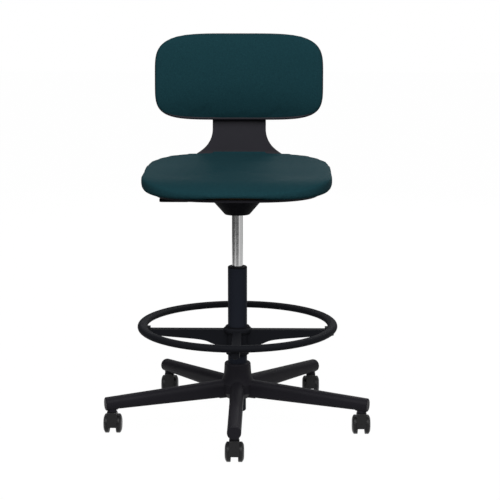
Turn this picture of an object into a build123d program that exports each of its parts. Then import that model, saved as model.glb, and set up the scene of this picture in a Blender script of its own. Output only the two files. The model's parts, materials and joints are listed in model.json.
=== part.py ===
"""Drafting chair on a five-arm caster base, with a gas lift, a foot ring and an adjustable backrest.

Sizes are in millimetres. +Z is up, the sitter faces -Y, and the origin lies on the floor on the
column's axis. Every piece is modelled where it stands in the chair at rest.
"""

import os
from math import cos, radians, sin, tan

from build123d import *

# ---------------------------------------------------------------- clearances
RUNNING_GAP = 0.05      # radial gap of a shaft that turns or slides in its bore
SEAT_GAP = 0.05         # radial gap of a pin or bush that is fixed in its bore
FREE_GAP = 0.4          # gap between pieces that move past each other
SOFT_GAP = 0.4          # gap between a pad and the hard piece beside it

# ---------------------------------------------------------------- heights above the floor
HUB_TOP_Z = 167.5
RING_Z = 265.7              # centre line of the foot ring
COLUMN_TOP_Z = 423.5
SEAT_FOOT_Z = 621.0         # underside of the seat shell

# ---------------------------------------------------------------- base
ARM_COUNT = 5
ARM_REACH = 355.0           # column axis to the arm's end face
ARM_WIDTH = 35.0
ARM_END_HEIGHT = 34.0
ARM_ROOT_HEIGHT = 50.0
ARM_END_FOOT_Z = 65.5       # underside of the arm at its end
ARM_ROOT_FOOT_Z = 73.0      # underside of the arm at the hub
ARM_WALL = 5.0
ARM_CROWN = 16.0            # solid top of the arm above its hollow
ARM_RIB = 4.0
ARM_RIB_RISE = 8.0          # a rib's foot above the arm's underside
ARM_RIBS = 4
HUB_TOP_RADIUS = 34.0
HUB_FOOT_RADIUS = 35.5      # hub where its flare starts
HUB_NECK_Z = 142.0
HUB_FLARE_RADIUS = 46.0     # hub between the arms
HUB_FLARE_Z = 112.0
HUB_SKIRT_Z = 90.0          # where the hub between the arms turns in to its foot
HUB_SKIRT_RADIUS = 30.0
CASTER_INSET = 17.5         # arm's end face to the caster's stem
CASTER_REACH = ARM_REACH - CASTER_INSET
SOCKET_RADIUS = 12.0
SOCKET_DROP = 3.0           # how far the socket boss stands below the arm
SOCKET_DEPTH = 24.0

# ---------------------------------------------------------------- column and gas lift
COLUMN_RADIUS = 25.0
COLUMN_WALL = 2.0
COLUMN_FOOT_Z = 37.0
COLUMN_FOOT_RADIUS = 22.0
TAPER_DROP = 1.6            # how much the column's radius shrinks through the hub
FOOT_PLATE = 3.0
BUSH_FLANGE = 4.0
BUSH_LENGTH = 80.0
ROD_RADIUS = 5.0
ROD_TAIL = 9.0              # rod below the column's foot
ROD_SHOULDER = 6.0
PISTON_Z = 302.0
PISTON_HEIGHT = 10.0
WASHER_HEIGHT = 2.0
WASHER_RADIUS = 15.0
BALL_RADIUS = 2.5
BALL_COUNT = 8
BALL_CIRCLE_RADIUS = 10.5
BUFFER_RADIUS = 14.0
BUFFER_HEIGHT = 20.0
TUBE_RADIUS = 14.0
TUBE_WALL = 1.6
TUBE_FOOT_Z = 206.0
TUBE_TOP_DROP = 17.0        # seat shell's underside to the pressure tube's top
TUBE_TOP_Z = SEAT_FOOT_Z - TUBE_TOP_DROP
TUBE_CONE = 35.0
TUBE_CONE_DROP = 0.9
TUBE_CAP = 10.0
GUIDE_HEIGHT = 12.0
VALVE_RADIUS = 4.0
VALVE_LENGTH = 40.0
VALVE_STAND = 5.1           # how far the valve pin stands out of the tube

# ---------------------------------------------------------------- foot ring
RING_RADIUS = 251.0
RING_OUTWARD = 9.5          # ring section: outward, inward and upward of its centre line
RING_INWARD = 16.5
RING_UPWARD = 9.1
SPOKE_COUNT = 4
SPOKE_WIDTH = 22.0
SPOKE_DROP = 9.7            # ring's centre line to the spokes' top
SPOKE_TOP_Z = RING_Z - SPOKE_DROP
SPOKE_END_DEPTH = 14.5
SPOKE_ROOT_DEPTH = 22.5      # depth of a spoke where its underside starts to curve down
SPOKE_ROOT_REACH = 140.0
COLLAR_TOP_DROP = 3.2       # ring's centre line to the collar's top
COLLAR_HEIGHT = 70.0
COLLAR_TOP_Z = RING_Z - COLLAR_TOP_DROP
COLLAR_FOOT_Z = COLLAR_TOP_Z - COLLAR_HEIGHT
COLLAR_RADIUS = 30.0
COLLAR_SHOULDER_RADIUS = 37.0
RING_SCREW_INSET = 7.0      # ring's centre line to its screws
RING_SCREW_REACH = RING_RADIUS - RING_SCREW_INSET
RING_SCREW_LENGTH = 24.0
SADDLE_DEPTH = 23.0         # ring's centre line to the inner face of the saddle under it
SADDLE_DROP = 4.0           # ring's centre line to the saddle's top
SLEEVE_WALL = 2.0
SLEEVE_FLANGE = 2.5
SLEEVE_SLIT = 2.0
CLAMP_ANGLE = 45.0          # where the clamp knob stands round the column
CLAMP_RISE = 35.5           # collar's foot to the clamp stud
CLAMP_Z = COLLAR_FOOT_Z + CLAMP_RISE
CLAMP_STUD_RADIUS = 4.0
CLAMP_BOSS_RADIUS = 9.0
CLAMP_BOSS_REACH = 42.0
CLAMP_KNOB_RADIUS = 15.0
CLAMP_KNOB_HEIGHT = 18.0

# ---------------------------------------------------------------- casters
WHEEL_RADIUS = 25.0
WHEEL_WIDTH = 14.4
WHEEL_SPAN = 47.2           # over both wheels
CASTER_TRAIL = 18.0
AXLE_RADIUS = 3.0
HOOD_GAP = 1.2              # wheel to fender
HOOD_WALL = 2.5
HOOD_WIDTH = 25.0
HOOD_CLEARANCE = 1.9        # arm's socket to the hood's top
HOOD_TOP_Z = ARM_END_FOOT_Z - SOCKET_DROP - HOOD_CLEARANCE
HOOD_FOOT_Z = 20.0
NECK_RADIUS = 11.5
STEM_RADIUS = 5.5
STEM_FLANGE = 1.2
STEM_IN_HOOD = 22.0

# ---------------------------------------------------------------- seat mechanism
FRAME_PLATE = 3.0
FRAME_PLATE_X = 132.0
FRAME_PLATE_Y = 124.0
CHANNEL_X = 96.0
CHANNEL_Y = 60.0
CHANNEL_DROP = 27.0         # seat shell's underside to the channel's foot
CHANNEL_FOOT_Z = SEAT_FOOT_Z - CHANNEL_DROP
CONE_SLEEVE_RADIUS = 18.5
COVER_DROP = 60.0           # seat shell's underside to the cover's foot
COVER_FOOT_Z = SEAT_FOOT_Z - COVER_DROP
COVER_FOOT_X = 64.0
COVER_FOOT_Y = 66.0
COVER_FOOT_CORNER = 26.0
COVER_TOP_X = 160.0
COVER_TOP_Y = 176.0
COVER_TOP_CORNER = 52.0
COVER_WALL = 3.0
LEVER_PIVOT_X = -30.0
LEVER_REACH = 200.5         # column axis to the lever's tip
LEVER_THICK = 5.0
LEVER_WIDTH = 14.0
LEVER_DROP = 15.5           # outer part of the lever below its inner part
LEVER_BOSS_RADIUS = 5.0
PIVOT_RADIUS = 2.5
GRIP_THICK = 7.5
GRIP_WIDTH = 30.0
GRIP_LENGTH = 78.0

# ---------------------------------------------------------------- seat
SEAT_HALF_WIDTH = 242.0
SEAT_FRONT = 218.0
SEAT_REAR = 212.0
SEAT_FRONT_ROUNDNESS = 3.4
SEAT_REAR_ROUNDNESS = 3.6
SEAT_EDGE_RISE = 27.0       # shell's underside to the seat pad's widest line, at least
SEAT_EDGE_Z = SEAT_FOOT_Z + SEAT_EDGE_RISE
SEAT_EDGE_SHARE = 0.7       # height of the widest line as a share of the pad's thickness
SEAT_TOP_RISE = 49.5        # shell's underside to the level top of the pad
SEAT_TOP_Z = SEAT_FOOT_Z + SEAT_TOP_RISE
SEAT_REAR_RISE = 20.0
SEAT_FRONT_FALL = 22.0
PAD_CROWN_POWER = 8.0       # squareness of the pad's section above its widest line
PAD_FOOT_POWER = 6.5        # and below it
PAD_POINTS = 40
PAD_SHARES = (-0.995, -0.965, -0.91, -0.82, -0.68, -0.5, -0.25, 0.0, 0.25, 0.48, 0.66, 0.8, 0.9, 0.96, 0.99)
SHELL_HALF_WIDTH = 211.0
SHELL_FRONT = 204.0
SHELL_THICK = 6.0
SHELL_BEND_Y = 130.0        # where the shell starts to curve up
SHELL_BEND_RADIUS = 85.0    # to the middle of the shell's wall
BOARD_HALF_WIDTH = 185.0
BOARD_HALF_DEPTH = 150.0
BOARD_THICK = 9.0
BOARD_SHIFT = -35.0

# ---------------------------------------------------------------- back
BACK_LEAN = 6.0             # degrees
TONGUE_HALF_WIDTH = 71.5
TONGUE_RISE = 212.0         # straight length of the tongue
TONGUE_CORNER = 14.0
FLARE_RADIUS = 68.0
FLARE_RISE = 66.0           # shell's underside to the foot of the tongue's flare
FLARE_FOOT_Z = SEAT_FOOT_Z + FLARE_RISE
WING_DROP = 52.0            # fall of the shell's rim from the flare to its sides
BACK_RISE = 269.0           # shell's underside to the middle of the back
BACK_Z = SEAT_FOOT_Z + BACK_RISE
BACK_HALF_WIDTH = 224.0
BACK_UP = 119.0
BACK_DOWN = 109.0
BACK_TOP_ROUNDNESS = 3.8
BACK_FOOT_ROUNDNESS = 5.0
BACK_FRONT_SWEEP = 24.0     # how far the pad's sides come forward of its middle
BACK_SPLIT_SWEEP = 30.0
BACK_REAR_SWEEP = 42.0
BACK_PAD_EDGE = 18.0        # rounding of the pad's front edge
BACK_PAD_FRONT = 50.0       # pad face in front of the tongue's middle
BACK_SPLIT = 12.0           # joint between pad and rear cover, in front of the tongue's middle
BACK_COVER_REAR = 19.0
BACK_COVER_WALL = 3.0
BACK_COVER_EDGE = 9.0
BACK_COVER_MARGIN = 7.0
SLIDER_HALF_WIDTH = 78.0
SLIDER_UP = 74.0
SLIDER_DOWN = 66.0
SLIDER_FRONT = 11.0         # in front of the tongue's middle
SLIDER_REAR = 8.4
CLAMP_BOLT_S = -46.0        # back clamp bolt below the middle of the back
CLAMP_BOLT_RADIUS = 4.0
BACK_LIFT = 30.0
BACK_DROP = 40.0
KNOB_RADIUS = 21.0
KNOB_DEPTH = 20.0
KNOB_LOBES = 6

# ---------------------------------------------------------------- fasteners
SCREW_RADIUS = 3.0
SCREW_HEAD_RADIUS = 5.5
SCREW_HEAD = 3.0
COVER_SCREW_SEAT = 3.5      # slider's rear face to the cover screws' heads
COVER_SCREW_BITE = 4.5


# ================================================================ helpers
def bar(radius, low, high, x=0.0, y=0.0):
    """An upright round bar from height low to height high."""
    return Pos(x, y, (low + high) / 2) * Cylinder(radius, high - low)


def tube(outer, inner, low, high):
    """An upright round tube."""
    return bar(outer, low, high) - bar(inner, low - 1, high + 1)


def block(x0, x1, y0, y1, z0, z1):
    """A box between two corners."""
    return Pos((x0 + x1) / 2, (y0 + y1) / 2, (z0 + z1) / 2) * Box(x1 - x0, y1 - y0, z1 - z0)


def turned(*profile):
    """A solid of revolution about Z from (radius, height) points."""
    return revolve(Plane.XZ * make_face(Polyline(*profile, close=True)), Axis.Z)


def group(solids):
    """Several separate solids as one node."""
    return Compound(children=list(solids))


def spin(piece, angle):
    """The piece turned about the column's axis."""
    return Rot(0, 0, angle) * piece


def egg_points(half_width, front, rear, roundness, count=32):
    """Points round a superellipse whose front and rear reach differ."""
    points = []
    for step in range(count):
        turn = radians(360 * step / count)
        x = half_width * abs(cos(turn)) ** (2 / roundness) * (1 if cos(turn) >= 0 else -1)
        depth = rear if sin(turn) >= 0 else front
        y = depth * abs(sin(turn)) ** (2 / roundness) * (1 if sin(turn) >= 0 else -1)
        points.append((x, y))
    return points


def egg_prism(half_width, front, rear, roundness, low, high):
    """An upright prism on a superellipse."""
    outline = make_face(Spline(egg_points(half_width, front, rear, roundness), periodic=True))
    return extrude(Pos(0, 0, low) * outline, high - low)


def sole_solid(shape):
    """The one solid of a shape, or its largest."""
    return max(shape.solids(), key=lambda solid: solid.volume)


# ================================================================ base
def arm_foot_z(reach):
    """Underside of an arm at a distance from the column."""
    share = (reach - HUB_FOOT_RADIUS) / (ARM_REACH - HUB_FOOT_RADIUS)
    return ARM_ROOT_FOOT_Z + (ARM_END_FOOT_Z - ARM_ROOT_FOOT_Z) * share


def arm_height(reach):
    """Height of an arm at a distance from the column."""
    share = (reach - HUB_FOOT_RADIUS) / (ARM_REACH - HUB_FOOT_RADIUS)
    return ARM_ROOT_HEIGHT + (ARM_END_HEIGHT - ARM_ROOT_HEIGHT) * share


def arm_section(reach, width, inset=0.0):
    """Upright oval section of an arm, facing along +X at that reach."""
    height = arm_height(reach) - 2 * inset
    middle = arm_foot_z(reach) + arm_height(reach) / 2
    plane = Plane(origin=(reach, 0, middle), x_dir=(0, 1, 0), z_dir=(1, 0, 0))
    corner = min(width, height) / 2 - 0.6
    return plane * RectangleRounded(width - 2 * inset, height, corner - inset)


def arm():
    """One arm of the base, along +X: a tapered oval with an open, ribbed underside."""
    root = HUB_TOP_RADIUS * 0.4
    body = loft([arm_section(root, ARM_WIDTH), arm_section(ARM_REACH, ARM_WIDTH)], ruled=True)
    end_edges = body.faces().sort_by(Axis.X)[-1].edges()
    return fillet(end_edges, 3.5)


def arm_hollow():
    """The channel in an arm's underside, with its cross ribs left standing."""
    start = HUB_FOOT_RADIUS + 14
    stop = CASTER_REACH - SOCKET_RADIUS - 2
    half = ARM_WIDTH / 2 - ARM_WALL
    roof_in = arm_foot_z(start) + arm_height(start) - ARM_CROWN
    roof_out = arm_foot_z(stop) + arm_height(stop) - ARM_CROWN
    floor = ARM_END_FOOT_Z - 10
    side = make_face(Polyline((start, floor), (stop, floor), (stop, roof_out), (start, roof_in), close=True))
    hollow = extrude(Plane.XZ * side, half, both=True)
    pitch = (stop - start) / (ARM_RIBS + 1)
    for number in range(1, ARM_RIBS + 1):
        x = start + number * pitch
        hollow -= block(x - ARM_RIB / 2, x + ARM_RIB / 2, -half, half, arm_foot_z(x) + ARM_RIB_RISE, HUB_TOP_Z)
    return hollow


def socket_foot_z():
    """Lowest face of a caster socket."""
    return ARM_END_FOOT_Z - SOCKET_DROP


def hub_blank():
    """Hub without its bore: a short post that flares out between the arms."""
    foot = ARM_ROOT_FOOT_Z
    outline = [
        Line((0, foot), (HUB_SKIRT_RADIUS, foot)),
        Line((HUB_SKIRT_RADIUS, foot), (HUB_FLARE_RADIUS, HUB_SKIRT_Z)),
        Line((HUB_FLARE_RADIUS, HUB_SKIRT_Z), (HUB_FLARE_RADIUS, HUB_FLARE_Z)),
        Spline(
            (HUB_FLARE_RADIUS, HUB_FLARE_Z), (HUB_FOOT_RADIUS, HUB_NECK_Z), tangents=((-0.7, 1), (-0.1, 1))
        ),
        Line((HUB_FOOT_RADIUS, HUB_NECK_Z), (HUB_TOP_RADIUS, HUB_TOP_Z)),
        Line((HUB_TOP_RADIUS, HUB_TOP_Z), (0, HUB_TOP_Z)),
        Line((0, HUB_TOP_Z), (0, foot)),
    ]
    hub = revolve(Plane.XZ * make_face(Curve() + outline), Axis.Z)
    return fillet(hub.edges().sort_by(Axis.Z)[-1], 5)


def base_star():
    """Hub and arms as one moulding, with the column's taper bored through it."""
    hub_foot = ARM_ROOT_FOOT_Z
    star = hub_blank()
    for number in range(ARM_COUNT):
        star += spin(arm(), arm_angle(number))
    for number in range(ARM_COUNT):
        boss = bar(SOCKET_RADIUS, socket_foot_z(), socket_foot_z() + SOCKET_DEPTH, x=CASTER_REACH)
        bore = bar(STEM_RADIUS + SEAT_GAP, socket_foot_z() - 1, socket_foot_z() + SOCKET_DEPTH, x=CASTER_REACH)
        star = star - spin(arm_hollow(), arm_angle(number)) + spin(boss, arm_angle(number))
        star -= spin(bore, arm_angle(number))
    taper = turned(
        (0, hub_foot - 1),
        (column_outer(hub_foot) + SEAT_GAP, hub_foot - 1),
        (column_outer(hub_foot) + SEAT_GAP, hub_foot),
        (COLUMN_RADIUS + SEAT_GAP, HUB_TOP_Z),
        (COLUMN_RADIUS + SEAT_GAP, HUB_TOP_Z + 1),
        (0, HUB_TOP_Z + 1),
    )
    return star - taper


def arm_angle(number):
    """Direction of an arm; the first one points to the front."""
    return -90 + number * 360 / ARM_COUNT


# ================================================================ column and gas lift
def column_outer(height):
    """Outer radius of the column at a height inside the hub."""
    hub_foot = ARM_ROOT_FOOT_Z
    share = (HUB_TOP_Z - height) / (HUB_TOP_Z - hub_foot)
    return COLUMN_RADIUS - TAPER_DROP * share


def column_tube():
    """Outer tube, tapered where it sits in the hub and closed by a plate at its foot."""
    hub_foot = ARM_ROOT_FOOT_Z
    low = column_outer(hub_foot)
    top = COLUMN_TOP_Z - BUSH_FLANGE
    foot_shoulder = hub_foot - 6
    plate = COLUMN_FOOT_Z + FOOT_PLATE
    return turned(
        (ROD_RADIUS + 1, COLUMN_FOOT_Z),
        (COLUMN_FOOT_RADIUS - 1.5, COLUMN_FOOT_Z),
        (COLUMN_FOOT_RADIUS, COLUMN_FOOT_Z + 1.5),
        (COLUMN_FOOT_RADIUS, foot_shoulder),
        (low, hub_foot),
        (COLUMN_RADIUS, HUB_TOP_Z),
        (COLUMN_RADIUS, top),
        (COLUMN_RADIUS - COLUMN_WALL, top),
        (COLUMN_RADIUS - COLUMN_WALL, HUB_TOP_Z),
        (low - COLUMN_WALL, hub_foot),
        (COLUMN_FOOT_RADIUS - COLUMN_WALL, foot_shoulder),
        (COLUMN_FOOT_RADIUS - COLUMN_WALL, plate),
        (ROD_RADIUS + 1, plate),
    )


def guide_bush():
    """Plastic bush in the column's mouth that guides the pressure tube."""
    top = COLUMN_TOP_Z - BUSH_FLANGE
    flange = tube(COLUMN_RADIUS, TUBE_RADIUS + RUNNING_GAP, top, COLUMN_TOP_Z)
    outer_rim = flange.edges().filter_by(GeomType.CIRCLE).sort_by(Axis.Z)[-2:].sort_by(SortBy.RADIUS)[-1]
    flange = fillet(outer_rim, BUSH_FLANGE * 0.7)
    sleeve = tube(COLUMN_RADIUS - COLUMN_WALL - SEAT_GAP, TUBE_RADIUS + RUNNING_GAP, top - BUSH_LENGTH, top)
    return flange + sleeve


def bearing_floor():
    """Height of the thrust bearing's lower face."""
    return COLUMN_FOOT_Z + FOOT_PLATE


def thrust_washer(low):
    """Flat race of the thrust bearing."""
    return tube(WASHER_RADIUS, ROD_RADIUS + 0.2, low, low + WASHER_HEIGHT)


def ball_z():
    """Height of the bearing balls' centres."""
    return bearing_floor() + WASHER_HEIGHT + BALL_RADIUS


def bearing_top():
    """Top face of the thrust bearing."""
    return ball_z() + BALL_RADIUS + WASHER_HEIGHT


def bearing_balls():
    """Ring of balls, a hair smaller than their space, with the plastic cage that spaces them."""
    ball = Pos(BALL_CIRCLE_RADIUS, 0, ball_z()) * Sphere(BALL_RADIUS - SEAT_GAP)
    cage = tube(BALL_CIRCLE_RADIUS + 3.6, BALL_CIRCLE_RADIUS - 3.6, ball_z() - 1, ball_z() + 1)
    pocket = Pos(BALL_CIRCLE_RADIUS, 0, ball_z()) * Sphere(BALL_RADIUS + 0.15)
    for n in range(BALL_COUNT):
        cage -= spin(pocket, 360 * n / BALL_COUNT)
    balls = [spin(ball, 360 * n / BALL_COUNT) for n in range(BALL_COUNT)]
    return group([cage] + balls)


def clip_z():
    """Underside of the retaining clip on the rod's tail."""
    return COLUMN_FOOT_Z - 4


def piston_rod():
    """Rod that stands on the bearing and is clipped under the column's foot plate."""
    foot = COLUMN_FOOT_Z - ROD_TAIL
    floor = bearing_top()
    groove = ROD_RADIUS - 1
    return turned(
        (0, foot),
        (ROD_RADIUS - 1, foot),
        (ROD_RADIUS, foot + 1),
        (ROD_RADIUS, clip_z()),
        (groove, clip_z()),
        (groove, clip_z() + 1.8),
        (ROD_RADIUS, clip_z() + 1.8),
        (ROD_RADIUS, floor),
        (ROD_RADIUS + 2.5, floor),
        (ROD_RADIUS + 2.5, floor + ROD_SHOULDER),
        (ROD_RADIUS, floor + ROD_SHOULDER),
        (ROD_RADIUS, PISTON_Z),
        (ROD_RADIUS - 1, PISTON_Z),
        (ROD_RADIUS - 1, PISTON_Z + PISTON_HEIGHT),
        (0, PISTON_Z + PISTON_HEIGHT),
    )


def rod_clip():
    """Open retaining ring in the groove of the rod's tail, and the washer between it and the foot plate."""
    ring = tube(ROD_RADIUS + 4, ROD_RADIUS - 1 + SEAT_GAP, clip_z() + 0.1, clip_z() + 1.6)
    clip = ring - block(0, ROD_RADIUS + 6, -2.5, 2.5, clip_z() - 1, clip_z() + 3)
    washer = tube(ROD_RADIUS + 6, ROD_RADIUS + 0.2, clip_z() + 1.8, COLUMN_FOOT_Z - 0.2)
    return group([clip, washer])


def gas_piston():
    """Piston on the rod's head, inside the pressure tube."""
    bore = TUBE_RADIUS - TUBE_WALL
    return tube(bore - 0.1, ROD_RADIUS - 1 + SEAT_GAP, PISTON_Z, PISTON_Z + PISTON_HEIGHT)


def bump_stop():
    """Rubber buffer on the rod, above its shoulder."""
    low = bearing_top() + ROD_SHOULDER
    return tube(BUFFER_RADIUS, ROD_RADIUS + 0.2, low, low + BUFFER_HEIGHT)


def tube_outer(height):
    """Outer radius of the pressure tube at a height in its cone."""
    share = (height - (TUBE_TOP_Z - TUBE_CONE)) / TUBE_CONE
    return TUBE_RADIUS - TUBE_CONE_DROP * share


def pressure_tube():
    """Chromed tube with a conical head that carries the seat."""
    bore = TUBE_RADIUS - TUBE_WALL
    cone = TUBE_TOP_Z - TUBE_CONE
    cap = TUBE_TOP_Z - TUBE_CAP
    return turned(
        (bore, TUBE_FOOT_Z),
        (TUBE_RADIUS - 0.5, TUBE_FOOT_Z),
        (TUBE_RADIUS, TUBE_FOOT_Z + 1),
        (TUBE_RADIUS, cone),
        (tube_outer(TUBE_TOP_Z), TUBE_TOP_Z),
        (VALVE_RADIUS + RUNNING_GAP, TUBE_TOP_Z),
        (VALVE_RADIUS + RUNNING_GAP, cap),
        (bore - 1, cap),
        (bore - 1, cone),
        (bore, cone - 1),
    )


def rod_guide():
    """Seal and guide for the rod in the pressure tube's foot."""
    bore = TUBE_RADIUS - TUBE_WALL
    return tube(bore - SEAT_GAP, ROD_RADIUS + RUNNING_GAP, TUBE_FOOT_Z, TUBE_FOOT_Z + GUIDE_HEIGHT)


def valve_top():
    """Top of the valve pin."""
    return TUBE_TOP_Z + VALVE_STAND


def valve_pin():
    """Pin in the pressure tube's head that opens the gas valve when pressed."""
    pin = bar(VALVE_RADIUS, valve_top() - VALVE_LENGTH, valve_top())
    return chamfer(pin.faces().sort_by(Axis.Z)[-1].edges(), 0.8)


# ================================================================ foot ring
def sleeve_outer():
    """Outer radius of the slip sleeve on the column."""
    return COLUMN_RADIUS + FREE_GAP / 2 + SLEEVE_WALL


def ring_sleeve():
    """Slip sleeve that slides on the column, flanged below and slit so that the clamp can squeeze it."""
    inner = COLUMN_RADIUS + FREE_GAP / 2
    body = tube(sleeve_outer(), inner, COLLAR_FOOT_Z - SLEEVE_FLANGE, COLLAR_TOP_Z + SLEEVE_FLANGE)
    foot = tube(COLLAR_RADIUS, inner, COLLAR_FOOT_Z - SLEEVE_FLANGE, COLLAR_FOOT_Z)
    slit = block(-40, 0, -SLEEVE_SLIT / 2, SLEEVE_SLIT / 2, COLLAR_FOOT_Z - 10, COLLAR_TOP_Z - 12)
    return body + foot - spin(slit, CLAMP_ANGLE)


def sleeve_cap():
    """Ring pressed on the sleeve's top, which keeps the collar on it."""
    return tube(
        sleeve_outer() + 4, sleeve_outer() + SEAT_GAP, COLLAR_TOP_Z + RUNNING_GAP, COLLAR_TOP_Z + SLEEVE_FLANGE
    )


def spoke():
    """One spoke along +X: flat top, depth growing in a curve towards the collar."""
    end = RING_RADIUS
    top = SPOKE_TOP_Z
    root = (SPOKE_ROOT_REACH, top - SPOKE_ROOT_DEPTH)
    low = (COLLAR_RADIUS + 4, top - 56)
    profile = [
        Line((COLLAR_RADIUS - 4, top), (end, top)),
        Line((end, top), (end, top - SPOKE_END_DEPTH)),
        Line((end, top - SPOKE_END_DEPTH), (RING_SCREW_REACH - 10, top - SPOKE_END_DEPTH)),
        Line((RING_SCREW_REACH - 10, top - SPOKE_END_DEPTH), root),
        Spline(root, (98, top - 26.8), (77, top - 32.0), (64, top - 38), low, tangents=((-1, -0.08), (-0.2, -1))),
        Line(low, (COLLAR_RADIUS - 4, top - 58)),
        Line((COLLAR_RADIUS - 4, top - 58), (COLLAR_RADIUS - 4, top)),
    ]
    return extrude(Plane.XZ * make_face(Curve() + profile), SPOKE_WIDTH / 2, both=True)


def saddle():
    """Raised end of a spoke, along +X, in which the ring lies."""
    inner = RING_RADIUS - SADDLE_DEPTH
    return block(inner, RING_RADIUS, -SPOKE_WIDTH / 2, SPOKE_WIDTH / 2, SPOKE_TOP_Z - 5, RING_Z - SADDLE_DROP)


def ring_spider():
    """Collar and spokes as one casting, with a boss for the clamp screw."""
    bore = sleeve_outer() + RUNNING_GAP
    collar = turned(
        (0, COLLAR_FOOT_Z + RUNNING_GAP),
        (COLLAR_RADIUS, COLLAR_FOOT_Z + RUNNING_GAP),
        (COLLAR_RADIUS, SPOKE_TOP_Z - 12),
        (COLLAR_SHOULDER_RADIUS, SPOKE_TOP_Z - 4),
        (COLLAR_SHOULDER_RADIUS, SPOKE_TOP_Z + 1.5),
        (COLLAR_RADIUS + 2, COLLAR_TOP_Z),
        (0, COLLAR_TOP_Z),
    )
    for number in range(SPOKE_COUNT):
        collar += spin(spoke() + saddle(), number * 360 / SPOKE_COUNT)
    boss = Rot(0, 90, 0) * Pos(0, 0, CLAMP_BOSS_REACH / 2) * Cylinder(CLAMP_BOSS_RADIUS, CLAMP_BOSS_REACH)
    collar += spin(Pos(0, 0, CLAMP_Z) * boss, CLAMP_ANGLE)
    collar -= bar(bore, COLLAR_FOOT_Z - 5, COLLAR_TOP_Z + 5)
    hole = Rot(0, 90, 0) * Pos(0, 0, 30) * Cylinder(CLAMP_STUD_RADIUS + RUNNING_GAP, 60)
    collar -= spin(Pos(0, 0, CLAMP_Z) * hole, CLAMP_ANGLE)
    for number in range(SPOKE_COUNT):
        collar -= spin(ring_screw_bar(SCREW_RADIUS + SEAT_GAP), number * 360 / SPOKE_COUNT)
    return collar - ring_body(SEAT_GAP)


def ring_body(grow):
    """The ring: an oval section, fuller towards the column, turned about the column's axis."""
    middle = (RING_RADIUS, RING_Z)
    high = RING_UPWARD + grow
    outer = EllipticalCenterArc(middle, RING_OUTWARD + grow, high, start_angle=-90, arc_size=180)
    inner = EllipticalCenterArc(middle, RING_INWARD + grow, high, start_angle=90, arc_size=180)
    return revolve(Plane.XZ * make_face(Curve() + [outer, inner]), Axis.Z)


def ring_screw_bar(radius):
    """Bar on the axis of the screw that holds the ring to the spoke along +X."""
    foot = SPOKE_TOP_Z - SPOKE_END_DEPTH
    return bar(radius, foot - 1, foot + RING_SCREW_LENGTH + 0.5, x=RING_SCREW_REACH)


def foot_ring():
    """The ring, with a blind hole for each spoke's screw."""
    ring = ring_body(0.0)
    for number in range(SPOKE_COUNT):
        ring -= spin(ring_screw_bar(SCREW_RADIUS + SEAT_GAP), number * 360 / SPOKE_COUNT)
    return ring


def ring_screws():
    """Screws from below through the spokes' ends into the ring."""
    foot = SPOKE_TOP_Z - SPOKE_END_DEPTH
    one = Pos(RING_SCREW_REACH, 0, foot) * screw(RING_SCREW_LENGTH)
    return group(spin(one, number * 360 / SPOKE_COUNT) for number in range(SPOKE_COUNT))


def clamp_knob():
    """Lobed knob with its stud, which presses on the slip sleeve."""
    start = CLAMP_BOSS_REACH + FREE_GAP
    stud_length = start + CLAMP_KNOB_HEIGHT / 2 - sleeve_outer() - FREE_GAP
    stud = Pos(0, 0, sleeve_outer() + FREE_GAP + stud_length / 2) * Cylinder(CLAMP_STUD_RADIUS, stud_length)
    grip = Pos(0, 0, start + CLAMP_KNOB_HEIGHT / 2) * Cylinder(CLAMP_KNOB_RADIUS, CLAMP_KNOB_HEIGHT)
    grip = fillet(grip.edges(), 2)
    for number in range(KNOB_LOBES):
        flute = Pos(CLAMP_KNOB_RADIUS + 2.5, 0, start + CLAMP_KNOB_HEIGHT / 2) * Cylinder(4, CLAMP_KNOB_HEIGHT + 2)
        grip -= Rot(0, 0, number * 360 / KNOB_LOBES) * flute
    return spin(Pos(0, 0, CLAMP_Z) * Rot(0, 90, 0) * (grip + stud), CLAMP_ANGLE)


# ================================================================ casters
def placed(piece, number):
    """A caster piece moved under its arm. Casters stand parallel, trailing to the rear."""
    turn = radians(arm_angle(number))
    return Pos(CASTER_REACH * cos(turn), CASTER_REACH * sin(turn), 0) * piece


def caster_stem():
    """Steel stem with a flange, fixed in the arm's socket."""
    foot = HOOD_TOP_Z - STEM_IN_HOOD
    flange_foot = socket_foot_z() - STEM_FLANGE
    top = socket_foot_z() + SOCKET_DEPTH - 1
    return turned(
        (0, foot),
        (STEM_RADIUS - 1, foot),
        (STEM_RADIUS, foot + 1),
        (STEM_RADIUS, flange_foot),
        (STEM_RADIUS + 2.5, flange_foot),
        (STEM_RADIUS + 2.5, socket_foot_z()),
        (STEM_RADIUS, socket_foot_z()),
        (STEM_RADIUS, top - 8),
        (STEM_RADIUS - 0.7, top - 8),
        (STEM_RADIUS - 0.7, top - 6),
        (STEM_RADIUS, top - 6),
        (STEM_RADIUS, top - 1),
        (STEM_RADIUS - 1, top),
        (0, top),
    )


def across(radius, half_width, y=CASTER_TRAIL, z=WHEEL_RADIUS):
    """A bar along X, centred on X = 0."""
    return Pos(0, y, z) * Rot(0, 90, 0) * Cylinder(radius, 2 * half_width)


def wheel_inner():
    """Distance from the caster's middle to a wheel's inner face."""
    return WHEEL_SPAN / 2 - WHEEL_WIDTH


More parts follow.
